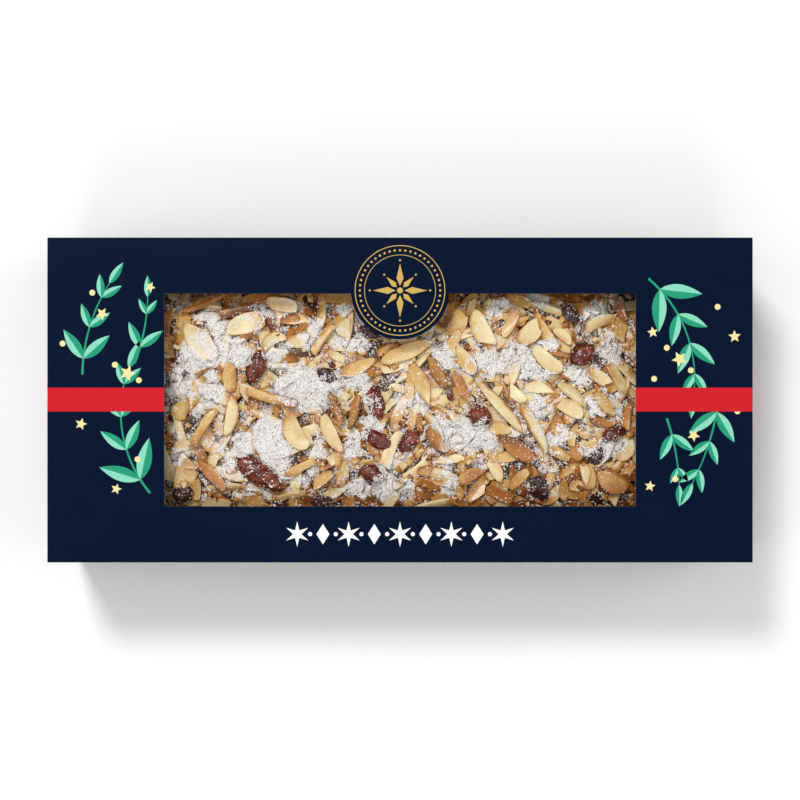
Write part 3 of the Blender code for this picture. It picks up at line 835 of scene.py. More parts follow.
def value_noise(x, y, scale, seed):
    """Smooth noise, 0 to 1, whose features are about scale wide."""
    draw = np.random.RandomState(seed)
    lattice = draw.rand(64, 64)
    u, v = x / scale + 100.0, y / scale + 100.0
    i, j = np.floor(u).astype(int), np.floor(v).astype(int)
    fu, fv = u - i, v - j
    fu, fv = fu * fu * (3 - 2 * fu), fv * fv * (3 - 2 * fv)
    a, b = lattice[i % 64, j % 64], lattice[(i + 1) % 64, j % 64]
    c, d = lattice[i % 64, (j + 1) % 64], lattice[(i + 1) % 64, (j + 1) % 64]
    return (a * (1 - fu) + b * fu) * (1 - fv) + (c * (1 - fu) + d * fu) * fv


def blurred(field, cells):
    """The field averaged over a square of cells, twice."""
    for _ in range(2):
        for axis in (0, 1):
            padded = np.concatenate([field.take([0] * cells, axis), field, field.take([-1] * cells, axis)], axis)
            total = np.cumsum(padded, axis)
            wide = 2 * cells
            high = total.take(range(wide, padded.shape[axis]), axis)
            low = total.take(range(0, padded.shape[axis] - wide), axis)
            field = (high - low) / wide
    return field


# Where icing sugar lies thick: x, y, turn, length, width (millimetres, degrees) and how thick.
DRIFTS = [
    (-70, 21, 70, 18, 13, 1.0), (-55.5, 30, 15, 14, 10, 0.95), (-58.5, 16, 0, 11, 8, 0.9),
    (-79, 8, 80, 15, 10, 0.6), (-68, 4, 80, 12, 7, 0.8), (-34, 4, 0, 21, 14, 1.0),
    (-31, 23, 60, 9, 8, 0.7), (-19.5, 34, 0, 9, 6, 0.6), (-18, 21, 0, 13, 9, 0.6),
    (-44, 17, 60, 10, 7, 0.7), (-14, 7, 0, 9, 7, 0.7), (-81, 35, 0, 9, 8, 0.5),
    (-39, 33, 20, 13, 6, 0.55), (16, 15, -45, 15, 4.5, 0.9), (29.5, 25, 80, 12, 7, 0.6),
    (31, 13, 5, 13, 6, 0.9), (46, 11, -10, 14, 7, 0.9), (54, 20, 10, 8, 5, 0.7),
    (75.5, 17, 0, 11, 8, 0.7), (67, 9, -15, 14, 6, 0.65), (49, 36, 0, 10, 5, 0.7),
    (35, 34, 0, 8, 5, 0.6), (71, 32, 20, 9, 5, 0.6), (20, 23, 80, 8, 6, 0.45),
    (-71, -2, 60, 8, 5, 0.45), (-80, -19, 80, 9, 6, 0.55), (-45, -17, -75, 22, 10, 1.0),
    (-57, -16, 0, 9, 8, 0.8), (-62, -22, 70, 11, 7, 0.75), (-29, -18, 70, 9, 6, 0.7),
    (-17, -16, 70, 10, 7, 0.75), (-10.5, -1, 80, 8, 5.5, 0.9), (-10, -10, -30, 7, 5, 0.75),
    (-6, -31, 80, 13, 9, 0.85), (-15, -33, 0, 9, 7, 0.7), (-33, -28, 20, 9, 5, 0.6),
    (-53, -33, 0, 12, 5, 0.5), (20, -13, -20, 18, 11, 0.72), (29, -13, 0, 10, 10, 1.0),
    (49, -3, 80, 11, 8, 0.9), (56, -12.5, 0, 13, 6, 0.85), (68, -18, -10, 10, 5, 0.8),
    (76, -16, 0, 11, 8, 0.7), (70, -3, 70, 8, 6, 0.7), (80, -3, 80, 7, 5, 0.5),
    (17, -29, 80, 12, 6, 0.7), (29, -23, 10, 11, 5, 0.6), (54, -31, 0, 6, 4, 0.45),
    (51, -23, 0, 10, 4, 0.45), (3, -33, 0, 9, 8, 0.6), (5, -2, 20, 9, 5, 0.5),
    (-2, -20, 40, 10, 6, 0.5), (8, 25, 20, 8, 5, 0.4), (43, 17, 10, 13, 4, 0.7),
]


def browner_and_rim_shade(x, y):
    """How much browner and barer the topping is at a point, 0 in its middle and 1 at its rim: toward the window's rim
    this is painted shade, standing for the shade that the board and the loaf's falling shoulders cast there; toward the
    near right corner the topping is made browner and barer as well.
    """
    rim = np.clip(np.maximum((np.abs(y) - 23 * MM) / (13 * MM), (np.abs(x) - 68 * MM) / (20 * MM)), 0, 1)
    near_side = np.clip((-y - 14 * MM) / (14 * MM), 0, 1) * np.clip((x + 15 * MM) / (45 * MM), 0, 1)
    return np.clip(np.maximum(rim * (0.15 + 0.9 * value_noise(x, y, 9 * MM, 15)), near_side * 0.8), 0, 1)


def sugar_amount(x, y):
    """How much icing sugar lies over a point, 0 to about 1."""
    wobble_x = (value_noise(x, y, 3.2 * MM, 11) - 0.5) * 5 * MM
    wobble_y = (value_noise(x, y, 3.2 * MM, 12) - 0.5) * 5 * MM
    most = np.zeros_like(x)
    for drift_x, drift_y, turn, length, width, depth in DRIFTS:
        turn = math.radians(turn)
        dx, dy = x + wobble_x - drift_x * MM, y + wobble_y - drift_y * MM
        along = (dx * math.cos(turn) + dy * math.sin(turn)) / (length * MM / 2)
        across = (dy * math.cos(turn) - dx * math.sin(turn)) / (width * MM / 2)
        near = np.clip(1.45 - np.sqrt(along**2 + across**2), 0, 0.6) / 0.6
        most = np.maximum(most, depth * near)
    loose = 0.02 + 0.36 * value_noise(x, y, 7 * MM, 13)
    amount = np.maximum(most * (0.74 + 0.4 * value_noise(x, y, 1.6 * MM, 14)), loose)
    # Less sugar toward the window's rim, as part of the painted rim shade.
    return np.clip(amount * (1 - 0.35 * browner_and_rim_shade(x, y)), 0, 1.05)


mesh_x, mesh_y = np.meshgrid(grid_x, grid_y)
swept = np.ones((ROWS, COLUMNS))  # how much of its sugar each place keeps: little on the large clean pieces


def sugar_kept(x, y):
    """The sugar over a point once the clean pieces are taken out."""
    column = np.clip(((x + REACH_X) / CELL).round().astype(int), 0, COLUMNS - 1)
    row = np.clip(((y + REACH_Y) / CELL).round().astype(int), 0, ROWS - 1)
    return sugar_amount(x, y) * swept[row, column]


loaf_tree = tree_of("loaf")
coarse = 6
crust_rows = looked_down(loaf_tree, mesh_x[::coarse, ::coarse].ravel(), mesh_y[::coarse, ::coarse].ravel(), np.nan)


def spread_to_grid(values, coarse_x, coarse_y):
    """A coarse field, read off between its points on the fine grid; points without a value take the lowest value."""
    values = values.reshape(len(coarse_y), len(coarse_x))
    values = np.where(np.isnan(values), np.nanmin(values) - 4 * MM, values)
    rows = np.array([np.interp(grid_x, coarse_x, row) for row in values])
    return np.array([np.interp(grid_y, coarse_y, rows[:, k]) for k in range(len(grid_x))]).T


crust = spread_to_grid(crust_rows, grid_x[::coarse], grid_y[::coarse])
crust = blurred(crust, 5)


class Relief:
    """The heights that the topping has reached so far, on a grid."""

    def __init__(self, heights):
        self.heights = heights.copy()

    def at(self, x, y):
        column = np.clip(((x + REACH_X) / CELL).round().astype(int), 0, COLUMNS - 1)
        row = np.clip(((y + REACH_Y) / CELL).round().astype(int), 0, ROWS - 1)
        return self.heights[row, column]

    def cells_near(self, x, y, reach):
        """The grid's cells within reach of a point, as slices."""
        first_column = max(0, int((x - reach + REACH_X) / CELL))
        last_column = min(COLUMNS, int((x + reach + REACH_X) / CELL) + 2)
        first_row = max(0, int((y - reach + REACH_Y) / CELL))
        last_row = min(ROWS, int((y + reach + REACH_Y) / CELL) + 2)
        return slice(first_row, last_row), slice(first_column, last_column)


CAD_PIECES = sorted(name for name in frame["nodes"] if name.split("_")[0] in ("flake", "sliver", "nut", "raisin"))


def cad_piece_frame(name):
    """A CAD piece's middle, its axes (length, width, thickness) and its sizes along them."""
    mesh = frame["nodes"][name].data
    points = np.array([vert.co[:] for vert in mesh.vertices])
    points = np.unique(points.round(7), axis=0)
    middle = (points.max(0) + points.min(0)) / 2
    _, _, axes = np.linalg.svd(points - points.mean(0), full_matrices=False)
    if axes[2, 2] < 0:
        axes[2] = -axes[2]
    axes[1] = np.cross(axes[2], axes[0])
    along = (points - points.mean(0)) @ axes.T
    middle = points.mean(0) + ((along.max(0) + along.min(0)) / 2) @ axes
    return middle, axes, along.max(0) - along.min(0)


hero_frames = {name: cad_piece_frame(name) for name in CAD_PIECES}
hero_tree = tree_of(*CAD_PIECES)
hero_top = np.full((ROWS, COLUMNS), -1.0)
hero_floor = np.full((ROWS, COLUMNS), 1.0)
for name in CAD_PIECES:
    low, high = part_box(name)
    keeps = 1.0 if sugar_amount(np.array([(low.x + high.x) / 2]), np.array([(low.y + high.y) / 2]))[0] > 0.93 else 0.38
    rows = np.where((grid_y > low.y - MM) & (grid_y < high.y + MM))[0]
    columns = np.where((grid_x > low.x - MM) & (grid_x < high.x + MM))[0]
    for row in rows:
        for column in columns:
            place = Vector((grid_x[column], grid_y[row], TALL))
            hit = hero_tree.ray_cast(place, Vector((0, 0, -1)))
            if not hit[0]:
                continue
            below = hero_tree.ray_cast(Vector((place.x, place.y, 0)), Vector((0, 0, 1)))
            hero_top[row, column] = hit[0].z
            hero_floor[row, column] = below[0].z
            swept[row, column] = keeps

# ---------------------------------------------------------- topping models


def model_slice(sides, squeezes, dent, level=0, broken=None, slant=0, straight=None):
    """A slice of almond of unit length, width and thickness: a plate, whole or broken off, or with a straight side."""
    deselect()
    bpy.ops.mesh.primitive_circle_add(vertices=sides, radius=0.46, fill_type="NGON", location=(0, 0, 0))
    piece = bpy.context.object
    edit(piece)
    for reach, squeeze in squeezes:
        choose(piece, lambda vert: vert.co.x * math.copysign(1, reach) > abs(reach))
        bpy.ops.transform.resize(value=(1, squeeze, 1))
    if straight is not None:
        choose(piece, lambda vert: vert.co.y < straight)
        bpy.ops.transform.resize(value=(1.04, 0.15, 1), center_override=(0, straight, 0))
    if broken is not None:
        choose(piece, lambda vert: vert.co.x > broken)
        bpy.ops.transform.resize(value=(0.10, 1.0, 1), center_override=(broken, 0, 0))
        bpy.ops.transform.rotate(value=math.radians(slant), orient_axis="Z", center_override=(broken, 0, 0))
    bpy.ops.mesh.select_all(action="SELECT")
    for rise, size in ((0.25, 1.05), (0.57, 1.0), (0.18, 0.965)):
        bpy.ops.mesh.extrude_region_move(TRANSFORM_OT_translate={"value": (0, 0, rise)})
        bpy.ops.transform.resize(value=(size, size, 1))
    bpy.ops.mesh.inset(thickness=0.03, depth=0.0)
    bpy.ops.mesh.inset(thickness=0.14, depth=0.0)
    bpy.ops.transform.translate(value=(0, 0, -dent))
    bpy.ops.mesh.poke()
    bpy.ops.mesh.select_all(action="SELECT")
    bpy.ops.transform.translate(value=(0, 0, -0.5))
    bpy.ops.mesh.normals_make_consistent(inside=False)
    leave()
    if level:
        apply_modifier(piece, "SUBSURF", levels=level, render_levels=level)
    return arrays_of(piece)


def model_sliver(sections, level=0):
    """A stick of almond of unit length: its section is drawn out, scaled and shifted step by step."""
    deselect()
    bpy.ops.mesh.primitive_cube_add(size=1, location=(-0.48, 0, 0))
    piece = bpy.context.object
    piece.scale = (0.04, sections[0][0], sections[0][1])
    set_down(piece)
    edit(piece)
    choose(piece, lambda face: face.normal.x > 0.5, "FACE")
    wide, tall = sections[0][0], sections[0][1]
    step = 0.96 / (len(sections) - 1)
    for next_wide, next_tall, shift, lift in sections[1:]:
        bpy.ops.mesh.extrude_region_move(TRANSFORM_OT_translate={"value": (step, shift, lift)})
        bpy.ops.transform.resize(value=(1, next_wide / wide, next_tall / tall))
        wide, tall = next_wide, next_tall
    bpy.ops.mesh.select_mode(type="EDGE")
    bpy.ops.mesh.select_all(action="DESELECT")
    bm = bmesh.from_edit_mesh(piece.data)
    for edge in bm.edges:
        along = edge.verts[0].co - edge.verts[1].co
        if abs(along.x) > 0.6 * along.length:
            edge.select_set(True)
    bmesh.update_edit_mesh(piece.data)
    bpy.ops.mesh.bevel(offset=0.12, segments=1, affect="EDGES")
    bpy.ops.mesh.select_all(action="SELECT")
    bpy.ops.mesh.normals_make_consistent(inside=False)
    leave()
    if level:
        apply_modifier(piece, "SUBSURF", levels=level, render_levels=level)
    return arrays_of(piece)


def model_chip(cuts):
    """A nib of almond: a block with its corners cut off by planes."""
    deselect()
    bpy.ops.mesh.primitive_cube_add(size=1, location=(0, 0, 0))
    piece = bpy.context.object
    edit(piece)
    for direction in cuts:
        bpy.ops.mesh.select_all(action="SELECT")
        away = Vector(direction).normalized()
        bpy.ops.mesh.bisect(plane_co=away * 0.47, plane_no=away, use_fill=True, clear_outer=True)
    bpy.ops.mesh.select_all(action="SELECT")
    bpy.ops.mesh.normals_make_consistent(inside=False)
    leave()
    return arrays_of(piece)


def model_kernel(level, pinch):
    """A nut or raisin of unit size: a ball drawn out to a blunt tip."""
    deselect()
    bpy.ops.mesh.primitive_ico_sphere_add(subdivisions=level, radius=0.5, location=(0, 0, 0))
    piece = bpy.context.object
    edit(piece)
    for reach, squeeze in ((0.1, 0.96), (0.25, 0.93), (0.38, pinch)):
        choose(piece, lambda vert: vert.co.x > reach)
        bpy.ops.transform.resize(value=(1, squeeze, squeeze))
    leave()
    return arrays_of(piece)


def model_grain():
    """A grain of sugar: a low uneven pyramid, like a flake that lies flat."""
    deselect()
    bpy.ops.mesh.primitive_cone_add(vertices=3, radius1=0.56, radius2=0, depth=0.26, location=(0, 0, 0))
    piece = bpy.context.object
    edit(piece)
    choose(piece, lambda vert: vert.co.z > 0.05)
    bpy.ops.transform.translate(value=(0.12, -0.08, 0))
    leave()
    return arrays_of(piece)


EGG = ((-0.2, 1.06), (-0.33, 1.18), (-0.41, 1.25), (0.05, 0.94), (0.2, 0.92), (0.33, 0.9), (0.42, 0.8))
ROUND = ((0.2, 1.06), (0.33, 1.14), (0.41, 1.2), (-0.2, 1.04), (-0.35, 1.12), (-0.42, 1.2))
SPEAR = ((-0.15, 1.05), (-0.3, 1.15), (-0.4, 1.2), (0.0, 0.93), (0.15, 0.9), (0.28, 0.88), (0.38, 0.85))
STRAIGHT = ((0.7, 0.75, 0, 0), (1.0, 1.0, 0, 0.02), (1.0, 1.0, 0.01, 0.02), (0.96, 1.0, 0, 0), (0.9, 0.95, 0, -0.02), (0.6, 0.7, 0, -0.02))
WEDGE = ((0.45, 0.6, 0, 0), (0.85, 0.95, 0.03, 0.04), (1.0, 1.0, 0.03, 0.03), (0.95, 0.9, 0, 0), (0.7, 0.75, -0.03, -0.02), (0.25, 0.4, -0.04, -0.04))
BROKEN = ((1.0, 0.9, 0, 0), (1.0, 1.0, 0.02, 0), (0.92, 0.95, 0.02, 0.02), (0.9, 0.95, -0.01, 0.02), (0.85, 0.9, -0.02, 0), (0.8, 0.85, -0.02, -0.02))
CHIP_CUTS = (
    ((1, 1, 0.3), (-1, 0.6, 0.5), (0.4, -1, 0.8), (-0.7, -1, -0.4), (0.2, 0.3, 1)),
    ((1, -0.4, 0.8), (-1, -0.8, 0.2), (-0.3, 1, 0.7), (0.8, 0.9, -0.5), (-0.2, -0.2, 1)),
)

fine_slices = [
    model_slice(24, EGG, 0.10, 1), model_slice(24, ROUND, 0.16, 1, 0.20, -24), model_slice(24, SPEAR, 0.05, 1),
    model_slice(24, EGG, 0.12, 1, None, 0, -0.20), model_slice(24, ROUND, 0.05, 1, 0.30, 28, 0.16 - 0.5),
    model_slice(24, SPEAR, 0.14, 1, 0.24, 18), model_slice(24, ROUND, 0.2, 1, None, 0, -0.28),
]
plain_slices = [
    model_slice(16, EGG, 0.10), model_slice(16, ROUND, 0.18, 0, 0.28, 22), model_slice(16, SPEAR, 0.04),
    model_slice(16, EGG, 0.12, 0, 0.16, -26), model_slice(16, ROUND, 0.08, 0, 0.05, 15),
    model_slice(16, EGG, 0.10, 0, None, 0, -0.18), model_slice(16, SPEAR, 0.10, 0, 0.22, -20, -0.2),
]
fine_slivers = [model_sliver(STRAIGHT, 1), model_sliver(WEDGE, 1), model_sliver(BROKEN, 1)]
plain_slivers = [model_sliver(STRAIGHT), model_sliver(WEDGE), model_sliver(BROKEN)]
chips = [model_chip(cuts) for cuts in CHIP_CUTS]


def rim_of(points):
    """How near each point of a unit model is to its edge or its ends, 0 to 1."""
    if np.ptp(points[:, 1]) > 0.8 and np.ptp(points[:, 2]) > 0.8 and len(points) < 60:
        return np.clip((np.abs(points[:, 0]) - 0.40) / 0.08, 0, 1)
    reach = np.sqrt((points[:, 0] / 0.5) ** 2 + (points[:, 1] / 0.5) ** 2)
    return np.clip((reach - 0.80) / 0.12, 0, 1)


class Gathered:
    """Copies of models gathered into one mesh, with the tone, rim and sugar of each point."""

    def __init__(self):
        self.points, self.faces, self.tone, self.rim, self.side = [], [], [], [], []
        self.count = 0

    def add(self, model, middle, axes, sizes, tone, curl, bend, twist, skew=0.0, taper=0.0, roll=0.0):
        points, faces = model
        local = points.copy()
        axes = np.array(axes)
        across, up = axes[1] * math.cos(roll) + axes[2] * math.sin(roll), axes[2] * math.cos(roll) - axes[1] * math.sin(roll)
        axes[1], axes[2] = across, up
        local[:, 1] *= 1 + taper * local[:, 0]
        local[:, 0] += skew * local[:, 1] * (0.3 + 1.4 * np.abs(local[:, 0]))
        local[:, 2] += curl * (local[:, 0] ** 2 * 4 - 0.35)
        local[:, 1] += bend * (local[:, 0] ** 2 * 4 - 0.35)
        angle = twist * local[:, 0]
        y, z = local[:, 1] * sizes[1], local[:, 2] * sizes[2]
        turned_y = y * np.cos(angle) - z * np.sin(angle)
        turned_z = y * np.sin(angle) + z * np.cos(angle)
        shaped = np.stack([local[:, 0] * sizes[0], turned_y, turned_z], 1)
        self.points.append(middle + shaped @ axes)
        self.faces.append(faces + self.count)
        # The tone takes in the painted rim shade: pieces toward the window's rim turn browner.
        self.tone.append(np.full(len(points), tone + 0.9 * browner_and_rim_shade(middle[0], middle[1])))
        self.rim.append(rim_of(points))
        toward = 7.0 * tone
        self.side.append(points[:, 0] * math.cos(toward) + points[:, 1] * math.sin(toward) - 0.35 * (points[:, 2] < -0.3))
        self.count += len(points)

    def piece(self, name, finish, slot, *nodes, smooth_angle=40, sugar=1.0):
        points, faces = np.concatenate(self.points), np.concatenate(self.faces)
        amount = sugar_kept(points[:, 0], points[:, 1]) * sugar
        obj = mesh_piece(
            name, points, faces, finish,
            tone=np.concatenate(self.tone), rim=np.concatenate(self.rim), side=np.concatenate(self.side), sugar=amount,
        )
        take(obj)
        bpy.ops.object.shade_smooth_by_angle(angle=math.radians(smooth_angle))
        gathered_trees.append((points, faces))
        return settle_in(obj, slot, *nodes)


gathered_trees = []

# ------------------------------------------------------------- the big pieces


def lay_big_pieces():
    """The larger almonds, nuts and raisins, each in the place of its CAD node."""
    draw = np.random.RandomState(5)
    for kind in ("flake", "sliver"):
        for tone_name in ("cream", "golden", "toasted"):
            names = [name for name in CAD_PIECES if name.startswith(f"{kind}_{tone_name}")]
            gathered = Gathered()
            for name in names:
                middle, axes, sizes = hero_frames[name]
                models = fine_slices if kind == "flake" else fine_slivers
                model = models[draw.randint(len(models))]
                flip = -1 if draw.rand() < 0.5 else 1
                turned_axes = np.array([axes[0] * flip, axes[1] * flip, axes[2]])
                curl = draw.uniform(0.0, 0.7) if kind == "flake" else draw.uniform(-0.15, 0.25)
                sizes = sizes * np.array([1.0, 1.0, 0.85 if kind == "flake" else 0.95])
                gathered.add(
                    model, middle, turned_axes, sizes, draw.uniform(0.1, 0.9), curl,
                    draw.uniform(-0.2, 0.2), draw.uniform(-0.35, 0.35), draw.uniform(-0.2, 0.2), draw.uniform(-0.35, 0.35),
                    draw.uniform(-0.4, 0.4) if kind == "sliver" else draw.uniform(-0.12, 0.12),
                )
            label = "slices" if kind == "flake" else "slivers"
            gathered.piece(f"large_{tone_name}_{label}", ALMONDS[tone_name], f"almond_{tone_name}", *names)


def wrinkled(points, sizes, seed, depth, folds):
    """Points of a unit kernel with its skin drawn in along uneven lengthwise folds."""
    result = points.copy()
    for i, point in enumerate(points):
        angle = math.atan2(point[2], point[1])
        drift = noise.noise(Vector((point[0] * 2.2, seed, 0.3))) * 2.4
        fold = noise.noise(Vector((math.cos(angle) * folds + drift, math.sin(angle) * folds, point[0] * 1.5 + seed)))
        lump = noise.noise(Vector((point[0] * 3 + seed, point[1] * 3, point[2] * 3)))
        result[i] = point * (1 - depth * abs(fold) * 1.6 + 0.06 * lump + 0.25 * depth)
    return result * sizes


def lay_dark_pieces():
    for kind, finish, slot, depth, folds, pinch in (
        ("nut", nut_skin, "nut_skin", 0.10, 2.2, 0.8),
        ("raisin", raisin_skin, "raisin_skin", 0.34, 2.0, 0.95),
    ):
        names = [name for name in CAD_PIECES if name.startswith(kind)]
        points, faces = model_kernel(5 if kind == "nut" else 5, pinch)
        all_points, all_faces = [], []
        for i, name in enumerate(names):
            middle, axes, sizes = hero_frames[name]
            shaped = wrinkled(points, sizes * 0.98, 3.7 * i + 1, depth, folds)
            all_points.append(middle + shaped @ axes)
            all_faces.append(faces + i * len(points))
        joined, joined_faces = np.concatenate(all_points), np.concatenate(all_faces)
        amount = sugar_kept(joined[:, 0], joined[:, 1]) + 0.22
        label = "red_brown_nuts" if kind == "nut" else "dark_raisins"
        obj = mesh_piece(label, joined, joined_faces, finish, sugar=amount)
        gathered_trees.append((joined, joined_faces))
        settle_in(obj, slot, *names)


lay_big_pieces()
lay_dark_pieces()

# ---------------------------------------------------------------- the heap


def ellipse_of(cells, x, y, turn, length, width):
    """Which of the cells lie under a piece, and their place along and across it."""
    rows, columns = cells
    dx = grid_x[columns][None, :] - x
    dy = grid_y[rows][:, None] - y
    along = (dx * math.cos(turn) + dy * math.sin(turn)) / (length / 2)
    across = (dy * math.cos(turn) - dx * math.sin(turn)) / (width / 2)
    return along**2 + across**2 < 1, dx, dy


def drawn_in(x, y, turn, length, width):
    """A piece's middle, drawn in until the piece lies over the loaf."""
    long_x = (abs(math.cos(turn)) * length + abs(math.sin(turn)) * width) / 2
    long_y = (abs(math.sin(turn)) * length + abs(math.cos(turn)) * width) / 2
    limit_x, limit_y = 110.5 * MM - long_x, 49.5 * MM - long_y
    return min(max(x, -limit_x), limit_x), min(max(y, -limit_y), limit_y)


def bed_piece(relief, ceiling, x, y, turn, length, width, thickness, sink):
    """Rests a piece on what is under it. Returns its middle and axes, or None where it stands too high."""
    cells = relief.cells_near(x, y, length / 2)
    under, dx, dy = ellipse_of(cells, x, y, turn, length, width)
    if under.sum() < 8:
        return None
    heights = relief.heights[cells][under]
    local_x = np.broadcast_to(dx, under.shape)[under]
    local_y = np.broadcast_to(dy, under.shape)[under]
    system = np.stack([local_x, local_y, np.ones_like(local_x)], 1)
    slope_x, slope_y, level = np.linalg.lstsq(system, heights, rcond=None)[0]
    steep = math.hypot(slope_x, slope_y)
    if steep > 0.75:
        slope_x, slope_y = slope_x * 0.75 / steep, slope_y * 0.75 / steep
    plane = slope_x * local_x + slope_y * local_y
    level = np.quantile(heights - plane, 0.82) - sink
    top = level + plane + thickness
    room = ceiling[cells][under]
    if (top > room).mean() > 0.12:
        return None
    patch = relief.heights[cells]
    patch[under] = np.maximum(patch[under], top)
    up = np.array([-slope_x, -slope_y, 1.0])
    up /= np.linalg.norm(up)
    along = np.array([math.cos(turn), math.sin(turn), slope_x * math.cos(turn) + slope_y * math.sin(turn)])
    along /= np.linalg.norm(along)
    across = np.cross(up, along)
    middle = np.array([x, y, level + thickness / 2])
    return middle, np.array([along, across, up])


# Pieces of middling size that lie on top of the heap: x, y, turn, length, width (millimetres, degrees).
UPPER = {
    "cream": [
        (-45.5, 21, 30, 11, 6.0), (-19, 26, 10, 9, 7.5), (1, 5.5, -10, 14, 4.6), (-66, -21.5, 0, 6.5, 5.5),
        (63.5, -31, 0, 6, 4.6), (59, -32, 90, 9.5, 3.6), (34.5, -25.5, -60, 9.5, 4.6), (41, 10, 75, 9, 4),
        (57, 26, -35, 13, 5), (78, 8, -60, 12, 4), (12, 34, 70, 12, 4.5), (-3, -17.5, 65, 14, 4.2),
        (62, 2, -40, 13, 4.4), (45, -30, -25, 14, 4.8), (13, -38, 15, 13, 4.5), (-66, -38, 10, 12, 6.5),
        (72, 28, 20, 12, 4.2), (26, 34, 80, 9, 4.0), (-25, 12, 10, 10, 3.6), (35, 3, 60, 9, 4.4),
        (-9, -24, 25, 13, 3.6), (-22, 37, -10, 14, 5), (2, 29, 55, 11, 3.8), (67, -27, -70, 10, 4),
    ],
    "golden": [
        (-4, 18, 20, 9.5, 5), (-79, -2.5, 80, 10, 7.5), (52, -9.5, 60, 7, 5.6), (62.5, -12.5, 75, 9.5, 4),
        (73.5, -1.5, -50, 11.5, 4.8), (10.5, -31, -25, 9.5, 3.8), (10.5, -25.5, 0, 9.5, 4), (36, -10.5, -10, 8.5, 5),
        (21, 28.5, 75, 12, 8), (-36, -24.5, 28, 12.5, 3.2), (-21.5, -20, 75, 9.5, 2.8), (-74, -31, 60, 13, 4),
        (79, -29, -35, 14, 4.4), (-50, 37, 15, 15, 4.6), (80, 27, 75, 12, 5), (19, 21, 60, 11, 4),
        (-60, -6, -70, 12, 3.6), (40, -20, 10, 12, 4.4), (-36, 31, -20, 13, 4.8), (28, -33, 35, 11, 4.6),
    ],
    "toasted": [
        (-59, 32, 15, 12.5, 3.2), (53, 6, 0, 8, 2.8), (7, -8, 100, 8.5, 2.6), (72.5, -8, -15, 9.5, 3),
        (8.5, -33.5, -45, 8.5, 5), (56.5, -8.5, 70, 8.5, 5), (-39.5, 29, 10, 7.5, 4.2), (82, -5, 80, 10, 3.4),
        (60, 37, -15, 12, 4), (-30, -37, 10, 11, 4), (-84, 28, 75, 11, 3.6), (36, 38, 10, 9, 3.4),
    ],
}


# Bits of nut that show between the almonds: x, y, turn, length, width (millimetres, degrees).
NUT_BITS = [
    (-10, 9.5, -15, 9, 4), (-36, -23.5, 20, 8, 3.6), (-48, -34.5, 0, 8, 5), (26, -30, 30, 7, 4.2), (56, -7.5, 60, 6, 4.4),
    (5.5, -25.5, 80, 5, 3.2), (1, 20, -30, 8, 4), (-12, 23, 10, 9, 5), (-23, 13, 20, 6, 3.6), (-37, 27, 15, 9, 3),
    (75, -28, 30, 7, 4.2), (-76, -34, 10, 8, 5), (31, -3, 70, 5, 3), (-58, 10, 60, 6, 3), (62, 30, 20, 6, 4),
]


